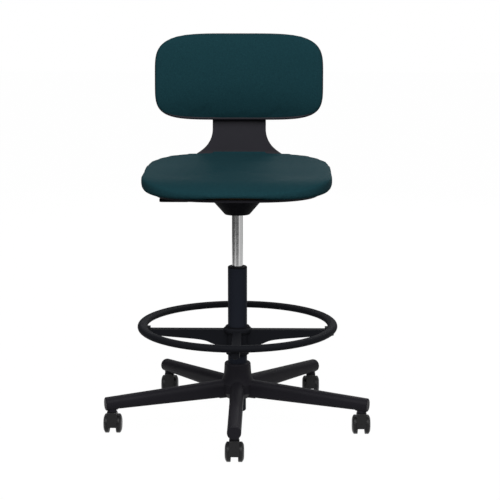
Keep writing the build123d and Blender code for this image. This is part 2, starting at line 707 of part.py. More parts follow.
def caster_hood():
    """Hood: fender over the wheels, web between them, and the neck that turns on the stem."""
    inner = WHEEL_RADIUS + HOOD_GAP
    outer = inner + HOOD_WALL
    web = wheel_inner() - 0.9
    fender = across(outer, HOOD_WIDTH / 2) - across(inner, HOOD_WIDTH)
    fender -= block(-40, 40, CASTER_TRAIL + outer * sin(radians(25)), 80, -10, 90)
    plate = across(outer, web)
    neck_top = socket_foot_z() - STEM_FLANGE - FREE_GAP
    neck = bar(NECK_RADIUS, HOOD_FOOT_Z + 14, HOOD_TOP_Z) & block(-web, web, -40, 40, 0, HOOD_TOP_Z)
    head = bar(NECK_RADIUS, inner * 1.92, neck_top)
    roof = block(-HOOD_WIDTH / 2, HOOD_WIDTH / 2, -NECK_RADIUS + 1, CASTER_TRAIL * 0.8, WHEEL_RADIUS, HOOD_TOP_Z)
    roof = fillet(roof.edges().filter_by(Axis.X).sort_by(Axis.Z)[-2:], 4)
    roof -= across(inner, HOOD_WIDTH)
    hood = fender + plate + neck + head + roof
    hood -= block(-40, 40, -60, 80, -30, HOOD_FOOT_Z)
    hood -= bar(STEM_RADIUS + RUNNING_GAP, HOOD_TOP_Z - STEM_IN_HOOD - 1, 90)
    hood -= across(AXLE_RADIUS + SEAT_GAP, 40)
    return sole_solid(hood)


def caster_axle():
    """Steel axle pressed in the hood's web, carrying both wheels."""
    return across(AXLE_RADIUS, WHEEL_SPAN / 2 - 4)


def caster_wheel(side):
    """One wheel: crowned tread, domed outer face, recessed inner face."""
    inner = wheel_inner()
    outer = WHEEL_SPAN / 2
    rim = WHEEL_RADIUS
    bore = AXLE_RADIUS + RUNNING_GAP
    outline = [
        Line((bore, inner), (bore + 4, inner)),
        Line((bore + 4, inner), (bore + 5, inner + 4)),
        Line((bore + 5, inner + 4), (rim - 5, inner + 4)),
        Line((rim - 5, inner + 4), (rim - 4.5, inner)),
        Line((rim - 4.5, inner), (rim - 1, inner)),
        Line((rim - 1, inner), (rim, inner + 1)),
        Line((rim, inner + 1), (rim, outer - 5)),
        ThreePointArc((rim, outer - 5), (rim - 6, outer - 1.2), (rim * 0.45, outer)),
        Line((rim * 0.45, outer), (0, outer)),
        Line((0, outer), (0, outer - 3.5)),
        Line((0, outer - 3.5), (bore, outer - 3.5)),
        Line((bore, outer - 3.5), (bore, inner)),
    ]
    wheel = revolve(Plane.XZ * make_face(Curve() + outline), Axis.Z)
    return Pos(0, CASTER_TRAIL, WHEEL_RADIUS) * Rot(0, 90 * side, 0) * wheel


# ================================================================ seat mechanism
def mechanism_frame():
    """Steel frame: top plate, lever channel and the conical sleeve for the pressure tube."""
    top = SEAT_FOOT_Z
    plate = block(-FRAME_PLATE_X / 2, FRAME_PLATE_X / 2, -FRAME_PLATE_Y / 2, FRAME_PLATE_Y / 2, top - FRAME_PLATE, top)
    plate = fillet(plate.edges().filter_by(Axis.Z), 22)
    wall = FRAME_PLATE
    channel = block(-CHANNEL_X / 2, CHANNEL_X / 2, -CHANNEL_Y / 2, CHANNEL_Y / 2, CHANNEL_FOOT_Z, top - 1)
    channel -= block(
        -CHANNEL_X, CHANNEL_X, -CHANNEL_Y / 2 + wall, CHANNEL_Y / 2 - wall, CHANNEL_FOOT_Z + wall, top - FRAME_PLATE
    )
    cone_foot = TUBE_TOP_Z - TUBE_CONE + 2
    sleeve = bar(CONE_SLEEVE_RADIUS, cone_foot, CHANNEL_FOOT_Z + wall + 3)
    frame = plate + channel + sleeve
    frame -= turned(
        (0, cone_foot - 1),
        (tube_outer(cone_foot) + SEAT_GAP, cone_foot - 1),
        (tube_outer(cone_foot) + SEAT_GAP, cone_foot),
        (tube_outer(TUBE_TOP_Z) + SEAT_GAP, TUBE_TOP_Z),
        (tube_outer(TUBE_TOP_Z) + SEAT_GAP, TUBE_TOP_Z + 2),
        (0, TUBE_TOP_Z + 2),
    )
    for x, y in frame_screw_places():
        frame -= bar(SCREW_RADIUS + SEAT_GAP, top - 10, top + 5, x, y)
    return frame - lever_axis_bar(PIVOT_RADIUS + SEAT_GAP, CHANNEL_Y)


def frame_screw_places():
    """Where the frame is screwed to the seat."""
    x = FRAME_PLATE_X / 2 - 14
    y = FRAME_PLATE_Y / 2 - 14
    return [(x, y), (-x, y), (x, -y), (-x, -y)]


def screw(length):
    """Pan-head screw standing on its head, with its seat at height 0."""
    head = fillet(bar(SCREW_HEAD_RADIUS, -SCREW_HEAD, 0).edges().sort_by(Axis.Z)[0], 1.4)
    socket = extrude(Pos(0, 0, -SCREW_HEAD - 0.1) * RegularPolygon(2.1, 6), 1.8)
    return head + bar(SCREW_RADIUS, 0, length) - socket


def frame_screws():
    """Screws through the frame and shell into the seat board."""
    foot = SEAT_FOOT_Z - FRAME_PLATE
    length = FRAME_PLATE + SHELL_THICK + BOARD_THICK - 1
    return group(Pos(x, y, foot) * screw(length) for x, y in frame_screw_places())


def lever_z():
    """Height of the lever's pivot and of the middle of its inner arm."""
    return valve_top() + FREE_GAP + LEVER_THICK / 2


def lever_axis_bar(radius, width):
    """A bar along Y on the lever's pivot."""
    return Pos(LEVER_PIVOT_X, 0, lever_z()) * Rot(90, 0, 0) * Cylinder(radius, width)


def lever_pin():
    """Pivot pin across the frame's channel."""
    return lever_axis_bar(PIVOT_RADIUS, CHANNEL_Y)


def height_lever():
    """Flat steel lever: inner arm over the valve pin, cranked outer arm."""
    inner = lever_z()
    outer = inner - LEVER_DROP
    half = LEVER_THICK / 2
    crank_in = LEVER_PIVOT_X - 16
    crank_out = LEVER_PIVOT_X - 52
    tip = -LEVER_REACH + 5
    side = Polyline(
        (VALVE_RADIUS + 3, inner - half),
        (crank_in, inner - half),
        (crank_out, outer - half),
        (tip, outer - half),
        (tip, outer + half),
        (crank_out, outer + half),
        (crank_in, inner + half),
        (VALVE_RADIUS + 3, inner + half),
        close=True,
    )
    lever = extrude(Plane.XZ * make_face(side), LEVER_WIDTH / 2, both=True)
    lever += lever_axis_bar(LEVER_BOSS_RADIUS, LEVER_WIDTH)
    return lever - lever_axis_bar(PIVOT_RADIUS + RUNNING_GAP, LEVER_WIDTH + 2)


def lever_grip():
    """Plastic paddle slipped over the lever's outer end."""
    middle = lever_z() - LEVER_DROP
    grip = block(
        -LEVER_REACH, -LEVER_REACH + GRIP_LENGTH, -GRIP_WIDTH / 2, GRIP_WIDTH / 2,
        middle - GRIP_THICK / 2, middle + GRIP_THICK / 2,
    )
    grip = fillet(grip.edges().filter_by(Axis.Z), 9)
    grip = fillet(grip.faces().filter_by(Axis.Z).edges(), 0.9)
    half = LEVER_THICK / 2 + SEAT_GAP
    wide = LEVER_WIDTH / 2 + SEAT_GAP
    return grip - block(-LEVER_REACH + 5 - SEAT_GAP, 0, -wide, wide, middle - half, middle + half)


def mechanism_cover():
    """Tapered plastic bowl round the frame, open above, slotted for the lever."""
    top = SEAT_FOOT_Z
    wall = COVER_WALL
    outside = loft(
        [
            Pos(0, 0, COVER_FOOT_Z) * RectangleRounded(COVER_FOOT_X, COVER_FOOT_Y, COVER_FOOT_CORNER),
            Pos(0, 0, top) * RectangleRounded(COVER_TOP_X, COVER_TOP_Y, COVER_TOP_CORNER),
        ],
        ruled=True,
    )
    outside = fillet(outside.faces().sort_by(Axis.Z)[0].edges(), 3)
    inside = loft(
        [
            Pos(0, 0, COVER_FOOT_Z + wall)
            * RectangleRounded(COVER_FOOT_X - 2 * wall, COVER_FOOT_Y - 2 * wall, COVER_FOOT_CORNER - wall),
            Pos(0, 0, top) * RectangleRounded(COVER_TOP_X - 3 * wall, COVER_TOP_Y - 3 * wall, COVER_TOP_CORNER - wall),
        ],
        ruled=True,
    )
    slot_half = LEVER_WIDTH / 2 + 3
    slot = block(-COVER_TOP_X, -COVER_FOOT_X / 2, -slot_half, slot_half, lever_z() - LEVER_DROP - 8, top + 1)
    return outside - inside - bar(TUBE_RADIUS + 1.5, COVER_FOOT_Z - 5, COVER_FOOT_Z + 10) - slot


# ================================================================ seat
def bend_point(radius, turn):
    """Point (Y, Z) on the shell's bend, turn degrees round from its start."""
    middle_z = SEAT_FOOT_Z + SHELL_THICK / 2 + SHELL_BEND_RADIUS
    return (SHELL_BEND_Y + radius * sin(radians(turn)), middle_z - radius * cos(radians(turn)))


def tongue_point(offset, rise):
    """Point (Y, Z) on the tongue: offset behind its middle plane, rise along it."""
    y, z = bend_point(SHELL_BEND_RADIUS + offset, 90 - BACK_LEAN)
    return (y + rise * sin(radians(BACK_LEAN)), z + rise * cos(radians(BACK_LEAN)))


def shell_band(grow=0.0):
    """Side profile of the shell from its front edge to the tongue's top, grown on the sitter's side."""
    half = SHELL_THICK / 2
    turn = 90 - BACK_LEAN
    outer = SHELL_BEND_RADIUS + half
    inner = SHELL_BEND_RADIUS - half - grow
    foot = SEAT_FOOT_Z
    top = foot + SHELL_THICK + grow
    front = -SHELL_FRONT - 5
    profile = [
        Line((front, foot), (SHELL_BEND_Y, foot)),
        ThreePointArc((SHELL_BEND_Y, foot), bend_point(outer, turn / 2), bend_point(outer, turn)),
        Line(bend_point(outer, turn), tongue_point(half, TONGUE_RISE)),
        Line(tongue_point(half, TONGUE_RISE), tongue_point(-half - grow, TONGUE_RISE)),
        Line(tongue_point(-half - grow, TONGUE_RISE), bend_point(inner, turn)),
        ThreePointArc(bend_point(inner, turn), bend_point(inner, turn / 2), (SHELL_BEND_Y, top)),
        Line((SHELL_BEND_Y, top), (front, top)),
        Line((front, top), (front, foot)),
    ]
    return extrude(Plane.YZ * make_face(Curve() + profile), SHELL_HALF_WIDTH + 5, both=True)


def shell_front_outline():
    """The shell's outline from the front, extruded front to back."""
    wide = SHELL_HALF_WIDTH + 10
    flare_x = TONGUE_HALF_WIDTH + FLARE_RADIUS
    flare_z = FLARE_FOOT_Z + FLARE_RADIUS
    top = tongue_point(0, TONGUE_RISE)[1] + 4
    corner = TONGUE_CORNER
    mid = FLARE_RADIUS * cos(radians(45))
    mid_corner = corner * (1 - cos(radians(45)))
    low = SEAT_FOOT_Z - 10
    right = [
        Line((0, low), (wide, low)),
        Line((wide, low), (wide, FLARE_FOOT_Z - WING_DROP)),
        Line((wide, FLARE_FOOT_Z - WING_DROP), (flare_x, FLARE_FOOT_Z)),
        ThreePointArc((flare_x, FLARE_FOOT_Z), (flare_x - mid, flare_z - mid), (TONGUE_HALF_WIDTH, flare_z)),
        Line((TONGUE_HALF_WIDTH, flare_z), (TONGUE_HALF_WIDTH, top - corner)),
        ThreePointArc(
            (TONGUE_HALF_WIDTH, top - corner),
            (TONGUE_HALF_WIDTH - mid_corner, top - mid_corner),
            (TONGUE_HALF_WIDTH - corner, top),
        ),
        Line((TONGUE_HALF_WIDTH - corner, top), (0, top)),
        Line((0, top), (0, low)),
    ]
    half = extrude(Plane.XZ * make_face(Curve() + right), 300, both=True)
    return half + mirror(half, Plane.YZ)


def seat_shell():
    """Seat pan and back bracket in one springy moulding."""
    rear = bend_point(SHELL_BEND_RADIUS, 90)[0] + SHELL_THICK + 6
    low = SEAT_FOOT_Z - 5
    split = tongue_point(0, 0)[1] + 4
    pan = shell_band() & egg_prism(SHELL_HALF_WIDTH, SHELL_FRONT, rear, 2.9, low, split)
    tongue = shell_band() & block(-SHELL_HALF_WIDTH, SHELL_HALF_WIDTH, 0, 400, split - 0.01, 1200)
    shell = (pan + tongue) & shell_front_outline()
    for x, y in frame_screw_places() + board_screw_places():
        shell -= bar(SCREW_RADIUS + SEAT_GAP, SEAT_FOOT_Z - 5, SEAT_FOOT_Z + SHELL_THICK + 5, x, y)
    return sole_solid(shell - back_frame(tongue_slot()))


def tongue_slot():
    """Slot in the tongue for the back's clamp bolt, in the back's own frame."""
    low = CLAMP_BOLT_S - BACK_DROP
    high = CLAMP_BOLT_S + BACK_LIFT
    radius = CLAMP_BOLT_RADIUS + FREE_GAP
    slot = block(-radius, radius, -20, 20, low, high)
    for end in (low, high):
        slot += Pos(0, 0, end) * Rot(90, 0, 0) * Cylinder(radius, 40)
    return slot


def board_screw_places():
    """Where the shell is screwed to the seat board."""
    return [(-150, -60), (150, -60), (-110, -140), (110, -140), (-120, 60), (120, 60)]


def board_screws():
    """Screws from under the shell into the seat board."""
    length = SHELL_THICK + BOARD_THICK - 1
    return group(Pos(x, y, SEAT_FOOT_Z) * screw(length) for x, y in board_screw_places())


def board_blank(gap=0.0):
    """Outline of the seat board, grown by a gap."""
    low = SEAT_FOOT_Z + SHELL_THICK
    prism = egg_prism(
        BOARD_HALF_WIDTH + gap, BOARD_HALF_DEPTH + gap, BOARD_HALF_DEPTH + gap, 2.6, low - gap, low + BOARD_THICK + gap
    )
    return Pos(0, BOARD_SHIFT, 0) * prism


def seat_board():
    """Moulded board inside the seat pad, drilled for its screws."""
    board = board_blank()
    for x, y in frame_screw_places() + board_screw_places():
        board -= bar(SCREW_RADIUS + SEAT_GAP, SEAT_FOOT_Z, SEAT_FOOT_Z + SHELL_THICK + BOARD_THICK - 1 + 0.5, x, y)
    return board


def shell_top_z(y):
    """Upper face of the shell at a distance y behind the column."""
    inner = SHELL_BEND_RADIUS - SHELL_THICK / 2
    if y <= SHELL_BEND_Y:
        return SEAT_FOOT_Z + SHELL_THICK
    middle_z = SEAT_FOOT_Z + SHELL_THICK / 2 + SHELL_BEND_RADIUS
    return middle_z - (inner**2 - min(y - SHELL_BEND_Y, inner) ** 2) ** 0.5


def pad_top_z(y):
    """Top of the seat pad along its middle: level, rising behind, falling at the front edge."""
    behind = max(0.0, (y + 20) / (SEAT_REAR + 20))
    ahead = max(0.0, (-y - 120) / (SEAT_FRONT - 120))
    return SEAT_TOP_Z + SEAT_REAR_RISE * behind**1.7 - SEAT_FRONT_FALL * ahead**2.6


def pad_ring(turn, power_up, power_down):
    """Point at an angle round a rounded oval of unit size, squarer for higher powers."""
    power = power_up if sin(turn) >= 0 else power_down
    reach = (abs(cos(turn)) ** power + abs(sin(turn)) ** power) ** (-1 / power)
    return (reach * cos(turn), reach * sin(turn))


def pad_section(y):
    """Closed section of the seat pad across the seat at y."""
    front = y < 0
    share = abs(y) / (SEAT_FRONT if front else SEAT_REAR)
    power = SEAT_FRONT_ROUNDNESS if front else SEAT_REAR_ROUNDNESS
    half = SEAT_HALF_WIDTH * (1 - share**power) ** (1 / power)
    low = shell_top_z(y) + SOFT_GAP
    high = pad_top_z(y)
    widest = max(SEAT_EDGE_Z, low + SEAT_EDGE_SHARE * (high - low))
    swell = (1 - share**PAD_CROWN_POWER) ** (1 / PAD_CROWN_POWER)
    points = []
    for step in range(PAD_POINTS):
        across_share, up_share = pad_ring(radians(360 * (step + 0.5) / PAD_POINTS), PAD_CROWN_POWER, PAD_FOOT_POWER)
        depth = high - widest if up_share >= 0 else widest - low
        points.append((half * across_share, y, widest + swell * depth * up_share))
    return Wire([Spline(points, periodic=True)])


def seat_pad():
    """Upholstered seat pad, hollowed below for its board."""
    sections = [pad_section(share * (SEAT_FRONT if share < 0 else SEAT_REAR)) for share in PAD_SHARES]
    pad = loft([make_face(wire) for wire in sections])
    return pad - shell_band(SOFT_GAP) - board_blank(SEAT_GAP)


# ================================================================ back
def back_frame(piece):
    """Moves a piece from the back's own frame, upright on the tongue's middle plane, to the chair."""
    rise = (BACK_Z - tongue_point(0, 0)[1]) / cos(radians(BACK_LEAN))
    y, z = tongue_point(0, rise)
    return Pos(0, y, z) * Rot(-BACK_LEAN, 0, 0) * piece


def back_prism(margin):
    """The back's outline as a prism, from front to rear."""
    points = []
    for step in range(48):
        turn = radians(360 * step / 48)
        x, rise = pad_ring(turn, BACK_TOP_ROUNDNESS, BACK_FOOT_ROUNDNESS)
        tall = BACK_UP if rise >= 0 else BACK_DOWN
        points.append(((BACK_HALF_WIDTH - margin) * x, (tall - margin) * rise))
    return extrude(Plane.XZ * make_face(Spline(points, periodic=True)), 150, both=True)


def back_slab(front, rear, front_sweep=BACK_FRONT_SWEEP, rear_sweep=BACK_REAR_SWEEP):
    """Everything between two curved upright surfaces in front of and behind the tongue's middle."""
    half = BACK_HALF_WIDTH + 12
    front_curve = ThreePointArc((-half, -front - front_sweep), (0, -front), (half, -front - front_sweep))
    rear_curve = ThreePointArc((half, rear - rear_sweep), (0, rear), (-half, rear - rear_sweep))
    sides = [Line(front_curve @ 1, rear_curve @ 0), Line(rear_curve @ 1, front_curve @ 0)]
    outline = make_face(Curve() + [front_curve, sides[0], rear_curve, sides[1]])
    return extrude(Pos(0, 0, -BACK_DOWN - 30) * outline, BACK_UP + BACK_DOWN + 60)


def back_pad():
    """Upholstered back pad in front of the split, hollowed for the slider."""
    split = -BACK_SPLIT - SOFT_GAP
    pad = back_prism(0.0) & back_slab(BACK_PAD_FRONT, split, rear_sweep=BACK_SPLIT_SWEEP)
    pad = fillet(pad.faces().sort_by(Axis.Y)[0].edges(), BACK_PAD_EDGE)
    pad = fillet(pad.faces().sort_by(Axis.Y)[-1].edges(), BACK_PAD_EDGE / 2)
    return back_frame(sole_solid(pad - slider_block(SOFT_GAP)))


def cover_blank(inset):
    """The rear cover's outside, or its inside when inset by its wall."""
    blank = back_prism(BACK_COVER_MARGIN + inset) & back_slab(
        BACK_SPLIT + 2 * inset, BACK_COVER_REAR - inset, front_sweep=BACK_SPLIT_SWEEP
    )
    return fillet(blank.faces().sort_by(Axis.Y)[-1].edges(), BACK_COVER_EDGE - inset)


def back_cover():
    """Hard rear cover behind the split, with a mouth for the tongue and a hole for the clamp bolt."""
    outside = cover_blank(0.0)
    cover = outside - cover_blank(BACK_COVER_WALL)
    mouth = TONGUE_HALF_WIDTH + 4
    cover -= block(-mouth, mouth, -SHELL_THICK, SHELL_THICK, -BACK_DOWN - 20, -BACK_DOWN + 40)
    cover -= slider_block(FREE_GAP)
    for x, rise in cover_screw_places():
        cover += along_back(SCREW_HEAD_RADIUS + 3, SLIDER_REAR + SEAT_GAP, BACK_COVER_REAR, x, rise) & outside
        cover -= along_back(SCREW_RADIUS + SEAT_GAP, SLIDER_REAR - 1, BACK_COVER_REAR + 5, x, rise)
        cover -= along_back(
            SCREW_HEAD_RADIUS + 0.5, SLIDER_REAR + COVER_SCREW_SEAT, BACK_COVER_REAR + 5, x, rise
        )
    cover -= along_back(CLAMP_BOLT_RADIUS + 1, 0, BACK_COVER_REAR + 5, 0, CLAMP_BOLT_S)
    return back_frame(sole_solid(cover))


def along_back(radius, start, end, x, rise):
    """A round bar from front to rear in the back's own frame."""
    return Pos(x, (start + end) / 2, rise) * Rot(90, 0, 0) * Cylinder(radius, end - start)


def slider_block(gap):
    """Outer block of the slider, grown by a gap, in the back's own frame."""
    half = SLIDER_HALF_WIDTH + gap
    return block(-half, half, -SLIDER_FRONT - gap, SLIDER_REAR + gap, -SLIDER_DOWN - gap, SLIDER_UP + gap)


def back_slider():
    """Slide block fixed in the back; the tongue runs in its channel."""
    half = TONGUE_HALF_WIDTH + FREE_GAP
    depth = SHELL_THICK / 2 + FREE_GAP
    slider = slider_block(0.0)
    slider = fillet(slider.edges().filter_by(Axis.Y), 6)
    slider -= block(-half, half, -depth, depth, -SLIDER_DOWN - 5, SLIDER_UP - 4)
    slider -= Pos(0, 0, CLAMP_BOLT_S) * Rot(90, 0, 0) * Cylinder(CLAMP_BOLT_RADIUS + RUNNING_GAP, 60)
    for x, rise in cover_screw_places():
        slider -= along_back(SCREW_RADIUS + SEAT_GAP, SLIDER_REAR - COVER_SCREW_BITE, SLIDER_REAR + 1, x, rise)
    return back_frame(slider - bolt_head(SEAT_GAP))


def bolt_head(gap):
    """Square head of the back's clamp bolt, let into the slider's front."""
    side = 13 + 2 * gap
    return Pos(0, -SLIDER_FRONT + 1.5, CLAMP_BOLT_S) * Box(side, 3 + 2 * gap, side)


def clamp_bolt_end():
    """How far the back's clamp bolt reaches to the rear."""
    return BACK_COVER_REAR + FREE_GAP + KNOB_DEPTH * 0.6


def back_clamp_bolt():
    """Bolt through slider, tongue and cover, held from turning by its square head."""
    shank = along_back(CLAMP_BOLT_RADIUS, -SLIDER_FRONT + 1.5, clamp_bolt_end(), 0, CLAMP_BOLT_S)
    return back_frame(bolt_head(0.0) + shank)


def back_knob():
    """Lobed hand knob on the back's clamp bolt."""
    start = BACK_COVER_REAR + FREE_GAP
    knob = Pos(0, 0, KNOB_DEPTH / 2) * Cylinder(KNOB_RADIUS, KNOB_DEPTH)
    knob = fillet(knob.edges(), 3)
    for number in range(KNOB_LOBES):
        flute = Pos(KNOB_RADIUS + 4, 0, KNOB_DEPTH / 2) * Cylinder(7, KNOB_DEPTH + 2)
        knob -= Rot(0, 0, number * 360 / KNOB_LOBES) * flute
    knob -= Pos(0, 0, 0) * Cylinder(CLAMP_BOLT_RADIUS + RUNNING_GAP, 2 * (KNOB_DEPTH * 0.6 + 0.5))
    return back_frame(Pos(0, start, CLAMP_BOLT_S) * Rot(-90, 0, 0) * knob)


def cover_screw_places():
    """Where the rear cover is screwed to the slider: sideways place and rise."""
    return [(-60, 50), (60, 50), (-60, -48), (60, -48)]


def cover_screws():
    """Screws through the rear cover into the slider."""
    screws = []
    for x, rise in cover_screw_places():
        turned_screw = Pos(x, SLIDER_REAR + COVER_SCREW_SEAT, rise) * Rot(90, 0, 0) * screw(
            COVER_SCREW_SEAT + COVER_SCREW_BITE - 0.5
        )
        screws.append(back_frame(turned_screw))
    return group(screws)


# ================================================================ the chair
def chair_nodes():
    """Every node of the chair by name."""
    nodes = {
        "base_star": base_star(),
        "column_tube": column_tube(),
        "guide_bush": guide_bush(),
        "bearing_race_lower": thrust_washer(bearing_floor()),
        "bearing_balls": bearing_balls(),
        "bearing_race_upper": thrust_washer(bearing_top() - WASHER_HEIGHT),
        "piston_rod": piston_rod(),
        "rod_clip": rod_clip(),
        "gas_piston": gas_piston(),
        "bump_stop": bump_stop(),
        "pressure_tube": pressure_tube(),
        "rod_guide": rod_guide(),
        "valve_pin": valve_pin(),
        "ring_sleeve": ring_sleeve(),
        "sleeve_cap": sleeve_cap(),
        "ring_spider": ring_spider(),
        "foot_ring": foot_ring(),
        "ring_screws": ring_screws(),
        "ring_clamp_knob": clamp_knob(),
        "mechanism_frame": mechanism_frame(),
        "mechanism_cover": mechanism_cover(),
        "frame_screws": frame_screws(),
        "lever_pin": lever_pin(),
        "height_lever": height_lever(),
        "lever_grip": lever_grip(),
        "seat_shell": seat_shell(),
        "seat_board": seat_board(),
        "board_screws": board_screws(),
        "seat_pad": seat_pad(),
        "back_slider": back_slider(),
        "back_clamp_bolt": back_clamp_bolt(),
        "back_knob": back_knob(),
        "back_cover": back_cover(),
        "cover_screws": cover_screws(),
        "back_pad": back_pad(),
    }
    hood, axle, stem = caster_hood(), caster_axle(), caster_stem()
    left, right = caster_wheel(-1), caster_wheel(1)
    for number in range(ARM_COUNT):
        name = f"caster_{number + 1}"
        nodes[f"{name}_stem"] = placed(stem, number)
        nodes[f"{name}_hood"] = placed(hood, number)
        nodes[f"{name}_axle"] = placed(axle, number)
        nodes[f"{name}_wheel_left"] = placed(left, number)
        nodes[f"{name}_wheel_right"] = placed(right, number)
    return nodes


os.makedirs("parts", exist_ok=True)
for node_name, node_shape in chair_nodes().items():
    export_step(node_shape, f"parts/{node_name}.step")
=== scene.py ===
"""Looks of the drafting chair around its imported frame.

Everything is in metres in the chair's own frame: +Z up, the sitter faces -Y, the floor is z = 0.
"""

import json
import math

import bpy
import numpy as np
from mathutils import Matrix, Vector


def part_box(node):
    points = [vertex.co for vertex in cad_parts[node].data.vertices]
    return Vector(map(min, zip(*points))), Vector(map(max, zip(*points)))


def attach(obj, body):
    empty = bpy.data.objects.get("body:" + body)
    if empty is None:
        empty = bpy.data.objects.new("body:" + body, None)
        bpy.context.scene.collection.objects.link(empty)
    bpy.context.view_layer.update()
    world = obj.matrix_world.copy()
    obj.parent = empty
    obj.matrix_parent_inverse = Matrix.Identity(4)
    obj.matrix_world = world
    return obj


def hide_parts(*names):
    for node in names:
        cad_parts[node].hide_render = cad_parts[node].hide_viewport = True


MM = 0.001

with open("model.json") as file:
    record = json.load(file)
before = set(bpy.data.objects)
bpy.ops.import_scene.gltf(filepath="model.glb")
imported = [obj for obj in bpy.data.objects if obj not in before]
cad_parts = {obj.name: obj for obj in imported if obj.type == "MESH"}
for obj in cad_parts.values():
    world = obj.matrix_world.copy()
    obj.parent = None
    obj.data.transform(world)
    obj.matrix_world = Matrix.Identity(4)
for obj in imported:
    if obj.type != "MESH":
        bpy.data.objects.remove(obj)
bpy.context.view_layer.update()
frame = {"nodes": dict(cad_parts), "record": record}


# ---------------------------------------------------------------- sizes read from the frame
def node_box(name):
    """Lowest and highest corner of a node as two numpy points."""
    low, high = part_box(name)
    return np.array(low), np.array(high)


SHELL_LOW, SHELL_HIGH = node_box("seat_shell")
SLIDER_LOW, SLIDER_HIGH = node_box("back_slider")
RING_LOW, RING_HIGH = node_box("foot_ring")

BACK_LEAN = math.radians(6.0)
SHELL_THICK = 6.0 * MM
SHELL_BEND_Y = 130.0 * MM
SHELL_BEND_RADIUS = 85.0 * MM


# ---------------------------------------------------------------- mesh code
def grid_quads(rows, columns, closed):
    """Corner numbers of the quads of a rows by columns grid, closed round its columns or open."""
    across = np.arange(columns if closed else columns - 1)
    up = np.arange(rows - 1)
    a = up[:, None] * columns + across[None, :]
    b = up[:, None] * columns + (across[None, :] + 1) % columns
    return np.stack([a, b, b + columns, a + columns], axis=-1).reshape(-1, 4)


def new_piece(name, points, quads, triangles=()):
    """A mesh object at the origin from an array of points, quads and triangles, shaded smooth."""
    mesh = bpy.data.meshes.new(name)
    faces = [list(corners) for corners in quads] + [list(corners) for corners in triangles]
    mesh.from_pydata(points.reshape(-1, 3).tolist(), [], faces)
    mesh.validate()
    mesh.update()
    mesh.polygons.foreach_set("use_smooth", np.ones(len(mesh.polygons), bool))
    piece = bpy.data.objects.new(name, mesh)
    bpy.context.scene.collection.objects.link(piece)
    return piece


def capped_tube(name, rings):
    """A closed form from rings of points: quads between rings, a fan of triangles over each end."""
    rows, columns = rings.shape[:2]
    ends = np.stack([rings[0].mean(0), rings[-1].mean(0)])
    points = np.concatenate([rings.reshape(-1, 3), ends])
    here = np.arange(columns)
    after = (here + 1) % columns
    foot = np.stack([np.full(columns, rows * columns), after, here], axis=-1)
    last = (rows - 1) * columns
    head = np.stack([np.full(columns, rows * columns + 1), last + here, last + after], axis=-1)
    return new_piece(name, points, grid_quads(rows, columns, True), np.concatenate([foot, head]))


def points_of(mesh):
    """The mesh's points as an array."""
    flat = np.empty(len(mesh.vertices) * 3, np.float32)
    mesh.vertices.foreach_get("co", flat)
    return flat.reshape(-1, 3).astype(float)


def baked_mesh(piece):
    """A new mesh of the piece with its modifiers applied."""
    depsgraph = bpy.context.evaluated_depsgraph_get()
    return bpy.data.meshes.new_from_object(piece.evaluated_get(depsgraph))


def apply_modifiers(piece):
    """Puts the result of the piece's modifiers into its mesh."""
    mesh = baked_mesh(piece)
    piece.modifiers.clear()
    piece.data = mesh
    mesh.polygons.foreach_set("use_smooth", np.ones(len(mesh.polygons), bool))
    return piece


def subdivide(piece, levels=1):
    """Adds a subdivision surface, the same in the view and the render."""
    modifier = piece.modifiers.new("subdivision", "SUBSURF")
    modifier.levels = levels
    modifier.render_levels = levels
    return piece


# ---------------------------------------------------------------- padded pieces
OUTLINE_POINTS = 160
SECTION_POINTS = 90
CLOTH_STEPS = 20
CLOTH_SETTINGS = {
    "quality": 6,
    "mass": 0.3,
    "tension_stiffness": 25,
    "compression_stiffness": 25,
    "bending_stiffness": 2,
    "use_pressure": True,
}


def soft_step(share):
    """A smooth rise from 0 to 1 as the share runs from 0 to 1, level at both ends."""
    return share * share * (3 - 2 * share)


def outline_turn():
    """The angles round a cushion's outline."""
    return np.linspace(0, 2 * math.pi, OUTLINE_POINTS, endpoint=False)


def section_turn():
    """The angles up a cushion's section, as a column, without the two ends, which are single points."""
    return np.linspace(-math.pi / 2, math.pi / 2, SECTION_POINTS)[1:-1, None]


def section_shares(rise, power):
    """Shares of outline s and height h at an angle on s^p + h^p = 1."""
    return np.abs(np.cos(rise)) ** (2 / power), np.abs(np.sin(rise)) ** (2 / power)


def superoval(turn, power):
    """Point at an angle on |x|^p + |y|^p = 1, where the power may differ at each point."""
    reach = (np.abs(np.cos(turn)) ** power + np.abs(np.sin(turn)) ** power) ** (-1 / power)
    return reach * np.cos(turn), reach * np.sin(turn)


def stretched(points, form):
    """Points scaled so that their box is the form's box."""
    low, high = points.min(0), points.max(0)
    return form.min(0) + (points - low) * (form.max(0) - form.min(0)) / (high - low)


